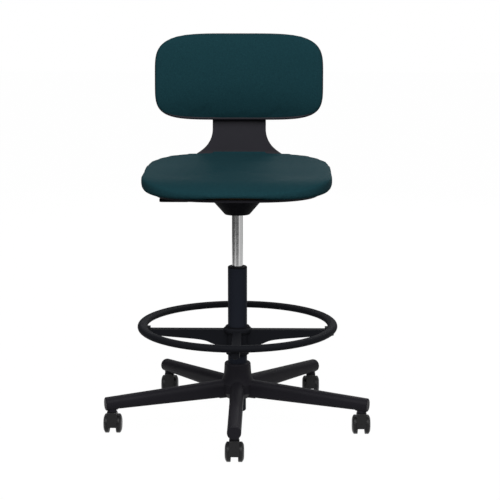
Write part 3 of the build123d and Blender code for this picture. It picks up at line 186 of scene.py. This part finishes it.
def plump(piece, voxel, shrink, pressure, cap):
    """Turns a closed form into stuffed cloth.

    The form is remeshed in small even quads, drawn in along its normals, blown up again as cloth under
    pressure and stretched to the form's box; no point ends further than the cap from where it began.
    """
    remesh = piece.modifiers.new("remesh", "REMESH")
    remesh.mode = "VOXEL"
    remesh.voxel_size = voxel
    apply_modifiers(piece)
    mesh = piece.data
    form = points_of(mesh)
    normals = np.empty(len(mesh.vertices) * 3, np.float32)
    mesh.vertices.foreach_get("normal", normals)
    normals = normals.reshape(-1, 3)
    mesh.vertices.foreach_set("co", (form - shrink * normals).ravel())
    mesh.update()
    cloth = piece.modifiers.new("cloth", "CLOTH")
    for name, value in CLOTH_SETTINGS.items():
        setattr(cloth.settings, name, value)
    cloth.settings.uniform_pressure_force = pressure
    cloth.settings.effector_weights.gravity = 0
    scene = bpy.context.scene
    for step in range(1, CLOTH_STEPS + 1):
        scene.frame_set(step)
    mesh = baked_mesh(piece)
    piece.modifiers.clear()
    piece.data = mesh
    scene.frame_set(1)
    moved = stretched(points_of(mesh), form) - form
    length = np.linalg.norm(moved, axis=1, keepdims=True)
    moved *= np.minimum(1, cap / np.maximum(length, 1e-9))
    mesh.vertices.foreach_set("co", (form + moved).ravel())
    mesh.update()
    smooth = piece.modifiers.new("smooth", "SMOOTH")
    smooth.factor = 0.5
    smooth.iterations = 5
    apply_modifiers(piece)
    mesh = piece.data
    mesh.vertices.foreach_set("co", stretched(points_of(mesh), form).ravel())
    mesh.update()
    return subdivide(piece)


def shell_top(y):
    """Upper face of the shell at a distance y behind the column: level, then an arc."""
    inner = SHELL_BEND_RADIUS - SHELL_THICK / 2
    middle = SHELL_LOW[2] + SHELL_THICK / 2 + SHELL_BEND_RADIUS
    into = np.clip(y - SHELL_BEND_Y, 0, inner)
    return middle - np.sqrt(inner**2 - into**2)


SEAT_TOP_Z = 670.4 * MM  # the level top above the floor
SEAT_REAR_RISE = 23.5 * MM  # the rear edge above the level top
SEAT_FRONT_FALL = 25.0 * MM  # the front edge below the level top
SEAT_FLAT_FRONT = 60.0 * MM  # the fall starts this far before the column
SEAT_HALF_WIDTH = 242.0 * MM
SEAT_FRONT = 221.0 * MM
SEAT_REAR = 212.0 * MM
SEAT_REAR_START = -20.0 * MM  # the rise starts here
SEAT_DISH = 7.0 * MM  # depth of the hollow for the sitter
SEAT_DISH_Y = -65.0 * MM  # deepest place of the hollow
SEAT_DISH_REACH = 80.0 * MM  # how far the hollow reaches
SIDE_DROP = 0.53  # share of the rear rise that is lost at the sides
REAR_POWER = 2.18
FALL_POWER = 3.19
FRONT_OVAL = 3.3  # powers of the outline: a higher one is squarer
REAR_OVAL = 4.9
UNDER_ROUNDNESS = 6.0  # powers of the section below and above the widest line
UNDER_ROUNDER = 2.8  # how much less it is at the middle of the front
TOP_ROUNDNESS = 12.0
ROUNDER_SPREAD = 0.5  # radians either side of the middle
WIDEST_REAR = 0.9  # height of the widest line as a share of the thickness
WIDEST_FRONT_DROP = 0.4
WIDEST_MIDDLE_GAIN = 0.14
PAN_CLEARANCE = 0.5 * MM  # between the pan and the cushion
TUCK_DEPTH = 3.0 * MM  # the bottom hangs this much lower outside the pan
TUCK_START = 0.86  # share of the outline
TUCK_LENGTH = 0.1


def seat_top(x, y):
    """Top of the seat: level and dished, falling at the front edge, rising behind to a dome."""
    behind = np.clip((y - SEAT_REAR_START) / (SEAT_REAR - SEAT_REAR_START), 0, None)
    ahead = np.clip((-y - SEAT_FLAT_FRONT) / (SEAT_FRONT - SEAT_FLAT_FRONT), 0, None)
    side = np.abs(x / SEAT_HALF_WIDTH)
    dome = 1 - SIDE_DROP * side**3
    dish = SEAT_DISH * np.exp(-(((y - SEAT_DISH_Y) / SEAT_DISH_REACH) ** 2)) * (1 - side**4)
    rise = SEAT_REAR_RISE * behind**REAR_POWER * dome
    return SEAT_TOP_Z + rise - SEAT_FRONT_FALL * ahead**FALL_POWER - dish


def seat_form():
    """Closed form of the seat cushion.

    Round the outline runs a rounded oval, squarer behind. From the bottom's middle over the widest line to
    the top's middle runs a section: share of the outline s and share of the height h with s^p + h^p = 1.
    The widest line lies low in front and high behind, the underside is rounder at the middle of the front,
    and outside the pan the bottom hangs a little lower.
    """
    turn = outline_turn()
    x, y = superoval(turn, np.where(np.sin(turn) < 0, FRONT_OVAL, REAR_OVAL))
    x = x * SEAT_HALF_WIDTH
    y = np.where(y < 0, y * SEAT_FRONT, y * SEAT_REAR)
    rise = section_turn()
    middle = np.exp(-(((turn - 1.5 * math.pi) / ROUNDER_SPREAD) ** 2))
    roundness = np.where(rise < 0, UNDER_ROUNDNESS - UNDER_ROUNDER * middle, TOP_ROUNDNESS)
    share, height = section_shares(rise, roundness)
    px = share * x
    py = share * y
    tuck = soft_step(np.clip((share - TUCK_START) / TUCK_LENGTH, 0, 1))
    low = shell_top(py) + PAN_CLEARANCE - TUCK_DEPTH * tuck
    high = seat_top(px, py)
    ahead = np.clip((-py - SEAT_FLAT_FRONT) / (SEAT_FRONT - SEAT_FLAT_FRONT), 0, 1)
    drop = (WIDEST_FRONT_DROP - WIDEST_MIDDLE_GAIN * middle) * soft_step(ahead)
    widest = low + (WIDEST_REAR - drop) * (high - low)
    pz = np.where(rise < 0, widest - (widest - low) * height, widest + (high - widest) * height)
    return capped_tube("seat_upholstery", np.stack([px, py, pz], axis=-1))


SLIDER_DEPTH = -1.3 * MM  # the slider's middle in the back's own frame
SLIDER_RISE = 4.0 * MM


def back_place(points):
    """Moves points from the back's own frame (sideways, depth, rise) to the chair."""
    centre = (SLIDER_LOW + SLIDER_HIGH) / 2
    depth = SLIDER_DEPTH
    rise = SLIDER_RISE
    cos, sin = math.cos(BACK_LEAN), math.sin(BACK_LEAN)
    origin_y = centre[1] - (depth * cos + rise * sin)
    origin_z = centre[2] - (-depth * sin + rise * cos)
    x, d, r = points[..., 0], points[..., 1], points[..., 2]
    return np.stack([x, origin_y + d * cos + r * sin, origin_z - d * sin + r * cos], axis=-1)


BACK_HALF_WIDTH = 222.0 * MM
BACK_MIDDLE = 5.3 * MM  # the outline's middle above the origin of the back's frame
BACK_UP = 112.0 * MM
BACK_DOWN = 115.0 * MM
BACK_PAD_FRONT = 51.0 * MM
BACK_CROWN_UP = 10.0 * MM  # how far the front falls back at the top and at the bottom
BACK_CROWN_DOWN = 28.0 * MM
BACK_SPLIT = 12.4 * MM  # the face between the cushion and its shell
BACK_FRONT_SWEEP = 25.0 * MM  # how far the sides come forward, in front and behind
BACK_REAR_SWEEP = 29.0 * MM
BACK_WIDEST_DEPTH = 12.0 * MM  # the widest line before the split, at most
BACK_WIDEST_SHARE = 0.45  # and at most this share of the thickness
BACK_UPPER_OVAL = 4.04  # powers of the outline
BACK_LOWER_OVAL = 5.34
BACK_REAR_ROUNDNESS = 5.0  # powers of the section
BACK_FRONT_ROUNDNESS = 3.0
CROWN_POWER = 2.1


def back_outline(turn, inset):
    """Sideways and rise of the back's rounded oval at an angle, drawn in by an inset."""
    x, r = superoval(turn, np.where(np.sin(turn) > 0, BACK_UPPER_OVAL, BACK_LOWER_OVAL))
    r = np.where(r > 0, r * (BACK_UP - inset), r * (BACK_DOWN - inset))
    return x * (BACK_HALF_WIDTH - inset), r + BACK_MIDDLE


def back_form():
    """Closed form of the back cushion: a rounded oval outline, a slab curved round the sitter.

    The front is crowned: it falls back with a power of the height above and below the middle.
    """
    x, r = back_outline(outline_turn(), 0)
    rise = section_turn()
    share, height = section_shares(rise, np.where(rise < 0, BACK_REAR_ROUNDNESS, BACK_FRONT_ROUNDNESS))
    px = share * x
    pr = BACK_MIDDLE + share * (r - BACK_MIDDLE)
    sweep = (px / BACK_HALF_WIDTH) ** 2
    away = (pr - BACK_MIDDLE) / BACK_DOWN
    crown = np.where(away < 0, BACK_CROWN_DOWN, BACK_CROWN_UP) * np.abs(away) ** CROWN_POWER
    front = BACK_PAD_FRONT + BACK_FRONT_SWEEP * sweep - crown
    rear = BACK_SPLIT + BACK_REAR_SWEEP * sweep
    widest = rear + np.minimum(BACK_WIDEST_DEPTH, BACK_WIDEST_SHARE * (front - rear))
    depth = np.where(rise < 0, widest - (widest - rear) * height, widest + (front - widest) * height)
    return capped_tube("back_upholstery", back_place(np.stack([px, -depth, pr], axis=-1)))


# ---------------------------------------------------------------- hard pieces
EDGE_RADIUS = 1.2 * MM  # on every moulded edge
PAN_FRONT_INSET = 5.0 * MM
PAN_REAR_MARGIN = 6.0 * MM
PAN_OVAL = 2.9  # power of the pan's outline
LEVEL_TO_BEND = 40.0 * MM  # below this height above the pan only the plan counts
FLARE_RADIUS = 68.0 * MM
FLARE_FOOT_Z = 687.0 * MM  # where the quarter round ends
FLARE_BLEND = 14.0 * MM
FLARE_ALONE = 15.0 * MM  # above this height over its foot only the flare counts
TONGUE_HALF_WIDTH = 71.5 * MM
TONGUE_RISE = 212.0 * MM
TONGUE_CORNER = 14.0 * MM  # rounds the tongue's upper corners


def soft_least(a, b, blend):
    """The lesser of two arrays, rounded where they cross."""
    share = np.clip(0.5 + 0.5 * (b - a) / blend, 0, 1)
    return b + (a - b) * share - blend * share * (1 - share)


def bracket():
    """Seat pan and back bracket: a curved sheet with thickness and rounded edges.

    Along the sheet: level from the front, an arc up, then straight and leaning back. Across it: half widths
    from the pan's rounded oval, then from the flare's quarter round, then from the straight tongue.
    """
    foot = SHELL_LOW[2] + SHELL_THICK / 2
    front = -SHELL_LOW[1] - PAN_FRONT_INSET
    level_y = -front * np.cos(np.linspace(0.02, math.pi / 2, 60))
    level_y = np.concatenate([level_y, np.linspace(0, SHELL_BEND_Y, 30)[1:]])
    turn = np.linspace(0, math.pi / 2 - BACK_LEAN, 90)[1:]
    bend_y = SHELL_BEND_Y + SHELL_BEND_RADIUS * np.sin(turn)
    bend_z = foot + SHELL_BEND_RADIUS * (1 - np.cos(turn))
    rise = np.linspace(0, 1, 130)[1:] ** 1.15 * TONGUE_RISE
    tongue_y = bend_y[-1] + rise * math.sin(BACK_LEAN)
    tongue_z = bend_z[-1] + rise * math.cos(BACK_LEAN)
    y = np.concatenate([level_y, bend_y, tongue_y])
    z = np.concatenate([np.full(len(level_y), foot), bend_z, tongue_z])
    half = SHELL_HIGH[0]
    rear = SHELL_BEND_Y + SHELL_BEND_RADIUS + SHELL_THICK + PAN_REAR_MARGIN
    length = np.where(y < 0, front, rear)
    plan = half * (1 - np.clip(np.abs(y) / length, 0, 0.9999) ** PAN_OVAL) ** (1 / PAN_OVAL)
    fall = np.clip(FLARE_FOOT_Z + FLARE_RADIUS - z, 0, FLARE_RADIUS)
    flare = TONGUE_HALF_WIDTH + FLARE_RADIUS - np.sqrt(FLARE_RADIUS**2 - fall**2)
    flare = np.where(z < FLARE_FOOT_Z, half, flare)
    width = np.where(z > foot + LEVEL_TO_BEND, soft_least(plan, flare, FLARE_BLEND), plan)
    width = np.where(z > FLARE_FOOT_Z + FLARE_ALONE, flare, width)
    into = np.clip(TONGUE_CORNER - (tongue_z[-1] - z), 0, TONGUE_CORNER)
    width = width - TONGUE_CORNER + np.sqrt(TONGUE_CORNER**2 - into**2)
    across = np.linspace(-1, 1, 49)
    points = np.stack(np.broadcast_arrays(width[:, None] * across, y[:, None], z[:, None]), axis=-1)
    piece = new_piece("seat_pan_and_bracket", points, grid_quads(len(y), len(across), False))
    thick = piece.modifiers.new("wall", "SOLIDIFY")
    thick.thickness = SHELL_THICK
    thick.offset = 0
    edge = piece.modifiers.new("edge", "BEVEL")
    edge.width = EDGE_RADIUS
    edge.segments = 3
    edge.angle_limit = math.radians(50)
    return apply_modifiers(piece)


def closed_tube(name, path, radius, sides=16):
    """A round cord along a closed path: circles square to the path, joined into a ring."""
    along = np.roll(path, -1, axis=0) - np.roll(path, 1, axis=0)
    along /= np.linalg.norm(along, axis=1, keepdims=True)
    outward = path - path.mean(0)
    outward -= along * (outward * along).sum(1, keepdims=True)
    outward /= np.linalg.norm(outward, axis=1, keepdims=True)
    across = np.cross(along, outward)
    turn = np.linspace(0, 2 * math.pi, sides, endpoint=False)[:, None]
    rings = path[:, None] + radius * (np.cos(turn) * outward[:, None] + np.sin(turn) * across[:, None])
    return new_piece(name, rings, ring_quads(len(path), sides))


def ring_quads(rows, columns):
    """Corner numbers of the quads of a grid that is closed both ways."""
    here = np.arange(rows)[:, None]
    a = here * columns + np.arange(columns)
    b = ((here + 1) % rows) * columns + np.arange(columns)
    return np.stack([a, b, np.roll(b, -1, axis=1), np.roll(a, -1, axis=1)], axis=-1).reshape(-1, 4)


# The dark rim round the back cushion is painted shade at the cushion's edge, drawn as a tube of the shell's
# plastic standing just proud of the outline.
SHADE_RIM_RADIUS = 4.0 * MM
SHADE_RIM_OVERHANG = 1.5 * MM
SHADE_RIM_FORWARD = 6.0 * MM


def painted_shade_rim():
    """A rim of the shell's plastic round the back cushion. It is a dark line of painted shade that stands
    for the shade at the cushion's edge.
    """
    x, r = back_outline(np.linspace(0, 2 * math.pi, 240, endpoint=False), SHADE_RIM_RADIUS - SHADE_RIM_OVERHANG)
    depth = BACK_SPLIT + SHADE_RIM_FORWARD + BACK_REAR_SWEEP * (x / BACK_HALF_WIDTH) ** 2
    return closed_tube("back_painted_shade_rim", back_place(np.stack([x, -depth, r], axis=-1)), SHADE_RIM_RADIUS)


RING_OUTWARD = 9.5 * MM
RING_INWARD = 16.5 * MM


def foot_ring():
    """The foot ring: an oval section, fuller towards the column, carried round a circle."""
    middle_z = (RING_LOW[2] + RING_HIGH[2]) / 2
    upward = (RING_HIGH[2] - RING_LOW[2]) / 2
    radius = RING_HIGH[0] - RING_OUTWARD
    section = np.linspace(0, 2 * math.pi, 40, endpoint=False)
    reach = np.where(np.cos(section) > 0, RING_OUTWARD, RING_INWARD) * np.cos(section)
    height = upward * np.sin(section)
    around = np.linspace(0, 2 * math.pi, 288, endpoint=False)
    r = radius + reach[None, :]
    x = r * np.cos(around)[:, None]
    y = r * np.sin(around)[:, None]
    points = np.stack(np.broadcast_arrays(x, y, middle_z + height[None, :]), axis=-1)
    return new_piece("foot_ring_moulding", points, ring_quads(*points.shape[:2]))


# ---------------------------------------------------------------- materials
def colour(code):
    """An sRGB hex value as linear red, green, blue and alpha."""
    parts = np.array([int(code[i : i + 2], 16) / 255 for i in (0, 2, 4)])
    linear = np.where(parts <= 0.04045, parts / 12.92, ((parts + 0.055) / 1.055) ** 2.4)
    return (*linear.tolist(), 1.0)


def add(tree, kind, settings=(), values=(), links=()):
    """Adds a node with its settings, the values of its sockets and the links into them."""
    made = tree.nodes.new("ShaderNode" + kind)
    for name, value in dict(settings).items():
        setattr(made, name, value)
    for socket, value in dict(values).items():
        made.inputs[socket].default_value = value
    for socket, source in dict(links).items():
        tree.links.new(source, made.inputs[socket])
    return made


def new_material(name):
    """An empty node material and its tree, with the output node."""
    material = bpy.data.materials.new(name)
    material.use_nodes = True
    tree = material.node_tree
    tree.nodes.clear()
    return material, tree, add(tree, "OutputMaterial")


def two_tone(tree, low, high, dark, light, source):
    """A colour ramp from a dark to a light colour between two positions of a noise."""
    ramp = add(tree, "ValToRGB", links={"Fac": source})
    for element, position, value in zip(ramp.color_ramp.elements, (low, high), (dark, light)):
        element.position = position
        element.color = value
    return ramp.outputs["Color"]


def uneven_gloss(tree, lowest, highest, source):
    """Roughness between two values, as a noise runs over its middle range."""
    values = {"From Min": 0.3, "From Max": 0.7, "To Min": lowest, "To Max": highest}
    return add(tree, "MapRange", values=values, links={"Value": source}).outputs["Result"]


def finished(material, tree, output, values, links):
    """The material with its surface shader: constant values on free sockets, patterns on the others."""
    shader = add(tree, "BsdfPrincipled", values=values, links=links)
    tree.links.new(shader.outputs["BSDF"], output.inputs["Surface"])
    return material


def moulded_plastic(name, code, roughness, grain, depth, shine=0.3, vary=0.06):
    """An even dull surface, broken up by fine bumps a grain wide and by a faint wide change of colour."""
    material, tree, output = new_material(name)
    place = add(tree, "TexCoord").outputs["Object"]
    grained = {"Scale": 1 / grain, "Detail": 2.0, "Roughness": 0.6}
    fine = add(tree, "TexNoise", values=grained, links={"Vector": place})
    wide = add(tree, "TexNoise", values={"Scale": 9.0, "Detail": 3.0}, links={"Vector": place})
    base = colour(code)
    dark = (*[c * (1 - vary) for c in base[:3]], 1)
    light = (*[c * (1 + vary) for c in base[:3]], 1)
    bumps = {"Strength": 0.4, "Distance": depth}
    bump = add(tree, "Bump", values=bumps, links={"Height": fine.outputs["Fac"]})
    links = {
        "Base Color": two_tone(tree, 0.3, 0.7, dark, light, wide.outputs["Fac"]),
        "Roughness": uneven_gloss(tree, roughness - 0.05, roughness + 0.05, fine.outputs["Fac"]),
        "Normal": bump.outputs["Normal"],
    }
    return finished(material, tree, output, {"IOR": 1.5, "Specular IOR Level": shine}, links)


def woven_cloth(name, code, dark_code):
    """A matt, slightly mottled cloth: two sets of threads, and a fine melange of two tones of one dye.

    Real threads of this kind lie about 0.6 mm apart. They are drawn at 1.6 mm, coarse enough to show.
    """
    material, tree, output = new_material(name)
    place = add(tree, "TexCoord").outputs["Object"]
    spacing = 1.6 * MM
    banded = {"Scale": 1 / spacing / 20 * 2 * math.pi, "Distortion": 0.6, "Detail": 1.0}
    warp, weft = (
        add(
            tree,
            "TexWave",
            settings={"wave_type": "BANDS", "bands_direction": direction},
            values=banded,
            links={"Vector": place},
        ).outputs["Fac"]
        for direction in ("X", "DIAGONAL")
    )
    threads = add(tree, "Math", settings={"operation": "ADD"}, links={0: warp, 1: weft})
    mottled = {"Scale": 420.0, "Detail": 3.0, "Roughness": 0.7}
    melange = add(tree, "TexNoise", values=mottled, links={"Vector": place})
    raised = {"Strength": 0.25, "Distance": 0.25 * MM}
    bump = add(tree, "Bump", values=raised, links={"Height": threads.outputs[0]})
    values = {
        "Roughness": 0.85,
        "IOR": 1.45,
        "Specular IOR Level": 0.03,
        "Sheen Weight": 0.01,
        "Sheen Roughness": 0.5,
    }
    links = {
        "Base Color": two_tone(tree, 0.35, 0.65, colour(dark_code), colour(code), melange.outputs["Fac"]),
        "Normal": bump.outputs["Normal"],
    }
    return finished(material, tree, output, values, links)


def polished_metal(name, code, roughness):
    """Bright metal that mirrors the room, with faint rub marks round it where a bush slides."""
    material, tree, output = new_material(name)
    place = add(tree, "TexCoord").outputs["Object"]
    drawn = add(tree, "Mapping", values={"Scale": (40, 40, 900)}, links={"Vector": place})
    rubbed = {"Scale": 1.0, "Detail": 3.0}
    rub = add(tree, "TexNoise", values=rubbed, links={"Vector": drawn.outputs["Vector"]})
    values = {"Base Color": colour(code), "Metallic": 1.0}
    links = {"Roughness": uneven_gloss(tree, roughness - 0.03, roughness + 0.05, rub.outputs["Fac"])}
    return finished(material, tree, output, values, links)


# Woven polyester upholstery: matt, deep teal, with a mottle that is only seen close by.
TEAL_CLOTH = woven_cloth("teal_woven_polyester", "1c3f46", "16343b")
# Glass-filled nylon from a spark-eroded mould, 0.9 mm grain: even dull black on the base arms.
BASE_NYLON = moulded_plastic("black_glass_filled_nylon", "201f24", 0.5, 0.9 * MM, 0.12 * MM, 0.07)
# Powder-coated steel: smoother, with a wide shallow ripple and a blue-black cast on the column.
COLUMN_COAT = moulded_plastic("black_powder_coated_steel", "22252d", 0.42, 1.6 * MM, 0.04 * MM, 0.02)
# Moulded polyamide: very dull black, so that feet don't slip on the ring.
RING_NYLON = moulded_plastic("black_moulded_polyamide", "1b1c20", 0.55, 0.9 * MM, 0.12 * MM, 0.02)
# Moulded polypropylene: warm dark grey with a soft gloss on the pan, bracket and rear cover.
SHELL_PLASTIC = moulded_plastic("basalt_moulded_polypropylene", "26252b", 0.5, 0.8 * MM, 0.1 * MM, 0.12)
# Nylon: the deepest and dullest black, for the cover, bushes and knobs.
DARK_NYLON = moulded_plastic("deep_black_nylon", "151519", 0.6, 0.9 * MM, 0.12 * MM, 0.02)
# Nylon with a smoother mould: dark grey, with a light on each rounded edge of the casters.
CASTER_NYLON = moulded_plastic("dark_grey_caster_nylon", "242425", 0.36, 0.9 * MM, 0.06 * MM, 0.16)
# Hard-chromed and ground steel: bright streaks along the gas lift's tube.
CHROME = polished_metal("hard_chromed_steel", "c8c8c8", 0.14)
# Zinc-plated steel: greyer, with blurred mirrors, on the inner pieces.
ZINC_STEEL = polished_metal("zinc_plated_steel", "8c8c8c", 0.35)
# Blackened steel: near black with a weak gloss, on screws and bolts.
BLACK_STEEL = moulded_plastic("blackened_steel", "121214", 0.45, 1.2 * MM, 0.05 * MM, 0.1)
# Rubber: dull and slightly uneven, on the buffer.
RUBBER = moulded_plastic("black_rubber", "1a1a1a", 0.8, 1.0 * MM, 0.1 * MM)
# Pressed beech plywood: pale brown and matt, inside the seat.
PLYWOOD = moulded_plastic("beech_plywood", "a98a63", 0.6, 2.0 * MM, 0.1 * MM)

BY_SLOT = {
    "base_moulding": BASE_NYLON,
    "column_paint": COLUMN_COAT,
    "dark_nylon": DARK_NYLON,
    "bright_chrome": CHROME,
    "steel": ZINC_STEEL,
    "black_steel": BLACK_STEEL,
    "buffer_rubber": RUBBER,
    "ring_moulding": RING_NYLON,
    "caster_nylon": CASTER_NYLON,
    "shell_moulding": SHELL_PLASTIC,
    "plywood": PLYWOOD,
    "seat_cloth": TEAL_CLOTH,
}


def dress(piece, material):
    """Gives a piece one material."""
    piece.data.materials.clear()
    piece.data.materials.append(material)
    return piece


SLOT_OF = {part["node"]: part["material_slot"] for part in frame["record"]["subparts"]}
for name, node in frame["nodes"].items():
    dress(node, BLACK_STEEL if name.endswith("screws") else BY_SLOT[SLOT_OF[name]])


def soften(name, radius):
    """Rounds the hard edges of a frame node: its loose triangles are welded, then its edges bevelled."""
    node = frame["nodes"][name]
    weld = node.modifiers.new("weld", "WELD")
    weld.merge_threshold = 0.01 * MM
    edge = node.modifiers.new("edge", "BEVEL")
    edge.width = radius
    edge.segments = 3
    edge.limit_method = "ANGLE"
    edge.angle_limit = math.radians(30)
    shade = node.modifiers.new("shade", "WEIGHTED_NORMAL")
    shade.mode = "FACE_AREA"
    shade.weight = 100


MOULDED_SLOTS = ("base_moulding", "caster_nylon", "dark_nylon", "ring_moulding", "shell_moulding")
for name in frame["nodes"]:
    if SLOT_OF[name] in MOULDED_SLOTS:
        soften(name, EDGE_RADIUS)


# ---------------------------------------------------------------- the cushions
STUFFING = {"voxel": 5 * MM, "shrink": 2 * MM, "pressure": 5, "cap": 1.2 * MM}
seat = plump(seat_form(), **STUFFING)
back = plump(back_form(), **STUFFING)
for cushion, node, body in ((seat, "seat_pad", "seat"), (back, "back_pad", "back")):
    dress(cushion, TEAL_CLOTH)
    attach(cushion, body)
    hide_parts(node)


# ---------------------------------------------------------------- the hard pieces that stand for nodes
for piece, node, body, slot, finish in (
    (bracket(), "seat_shell", "seat", "shell_moulding", SHELL_PLASTIC),
    (foot_ring(), "foot_ring", "foot_ring", "ring_moulding", RING_NYLON),
):
    dress(piece, finish)
    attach(piece, body)
    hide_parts(node)

# Painted shade: a dark rim of shell plastic round the back cushion's edge.
shade_rim = dress(painted_shade_rim(), SHELL_PLASTIC)
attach(shade_rim, "back")


# ---------------------------------------------------------------- floor, light and camera
FLOOR_HALF = 12.0
FLOOR_GLOW = 1.065
FLOOR_GLOW_SHARE = 0.93
SURROUND_LIGHT = 0.16


def plain_math(tree, operation, first, second):
    """The clamped result of a sum or product of two values, where a value is a number or a socket."""
    terms = {0: first, 1: second}
    return add(
        tree,
        "Math",
        settings={"operation": operation, "use_clamp": True},
        values={socket: term for socket, term in terms.items() if isinstance(term, float)},
        links={socket: term for socket, term in terms.items() if not isinstance(term, float)},
    ).outputs[0]


def seen_directly(tree):
    """1 where the camera, a mirror or glass sees the surface, and 0 where it only lights other things."""
    ray = add(tree, "LightPath")
    seen = plain_math(tree, "ADD", ray.outputs["Is Camera Ray"], ray.outputs["Is Glossy Ray"])
    return plain_math(tree, "ADD", seen, ray.outputs["Is Transmission Ray"])


def stage_floor():
    """Pale floor: near white to the camera, keeping the chair's faint shadow."""
    half = FLOOR_HALF
    points = np.array([(-half, -half, 0), (half, -half, 0), (half, half, 0), (-half, half, 0)])
    floor = new_piece("floor", points, [(0, 1, 2, 3)])
    material, tree, output = new_material("pale_floor")
    matt = add(tree, "BsdfDiffuse", values={"Color": (0.25, 0.25, 0.25, 1)})
    glow = add(tree, "Emission", values={"Color": (1, 1, 1, 1), "Strength": FLOOR_GLOW})
    share = plain_math(tree, "MULTIPLY", seen_directly(tree), FLOOR_GLOW_SHARE)
    mix = add(tree, "MixShader", links={0: share, 1: matt.outputs["BSDF"], 2: glow.outputs["Emission"]})
    tree.links.new(mix.outputs["Shader"], output.inputs["Surface"])
    dress(floor, material)


def studio_world():
    """Even soft surround, white where the camera, metal or glass sees it."""
    world = bpy.data.worlds.new("studio")
    bpy.context.scene.world = world
    world.use_nodes = True
    tree = world.node_tree
    tree.nodes.clear()
    output = add(tree, "OutputWorld")
    soft, white = (
        add(tree, "Background", values={"Color": (1, 1, 1, 1), "Strength": strength}).outputs["Background"]
        for strength in (SURROUND_LIGHT, 1.0)
    )
    mix = add(tree, "MixShader", links={0: seen_directly(tree), 1: soft, 2: white})
    tree.links.new(mix.outputs["Shader"], output.inputs["Surface"])


def area_light(name, place, aim, width, height, power):
    """A soft rectangular lamp at a place, aimed at a point."""
    data = bpy.data.lights.new(name, "AREA")
    data.shape = "RECTANGLE"
    data.size = width
    data.size_y = height
    data.energy = power
    lamp = bpy.data.objects.new(name, data)
    bpy.context.scene.collection.objects.link(lamp)
    lamp.location = place
    direction = Vector([a - p for a, p in zip(aim, place)])
    lamp.rotation_euler = direction.to_track_quat("-Z", "Y").to_euler()


def studio_flag(name, corners, level):
    """A dark card that only mirrors and gloss see, so that metal shows a dim room beside the lamps."""
    card = new_piece(name, np.array(corners, float), [(0, 1, 2, 3)])
    material, tree, output = new_material(name)
    glow = add(tree, "Emission", values={"Color": (1, 1, 1, 1), "Strength": level})
    tree.links.new(glow.outputs["Emission"], output.inputs["Surface"])
    dress(card, material)
    for ray in ("camera", "diffuse", "shadow", "transmission"):
        setattr(card, "visible_" + ray, False)


stage_floor()
studio_world()
FLAG_FOOT = -0.01
FLAG_TOP = 1.6
for name, level, (x0, y0), (x1, y1) in (
    ("flag_left", 0.1, (-1.9, -2.0), (-1.9, 1.9)),
    ("flag_rear", 0.1, (-1.9, 1.9), (1.9, 1.9)),
    ("flag_front", 0.15, (-1.9, -2.0), (1.3, -2.0)),
    ("flag_right", 0.72, (1.9, -1.6), (1.9, 1.9)),
):
    corners = [(x0, y0, FLAG_FOOT), (x1, y1, FLAG_FOOT), (x1, y1, FLAG_TOP), (x0, y0, FLAG_TOP)]
    studio_flag(name, corners, level)
CHAIR_MIDDLE = (0, 0, 0.55)
area_light("key", (0.0, -2.8, 2.95), CHAIR_MIDDLE, 3.6, 2.8, 140)
area_light("rear_fill", (0.7, 3.3, 1.9), CHAIR_MIDDLE, 2.6, 1.6, 55)

camera_data = bpy.data.cameras.new("camera")
camera_data.lens = 114.3
camera_data.sensor_width = 36.0
camera = bpy.data.objects.new("camera", camera_data)
bpy.context.scene.collection.objects.link(camera)
camera.location = (0.1009, -4.0349, 1.237)
camera.rotation_euler = (math.radians(79.18), 0.0, math.radians(0.97))
bpy.context.scene.camera = camera
bpy.context.scene.view_settings.view_transform = "Standard"
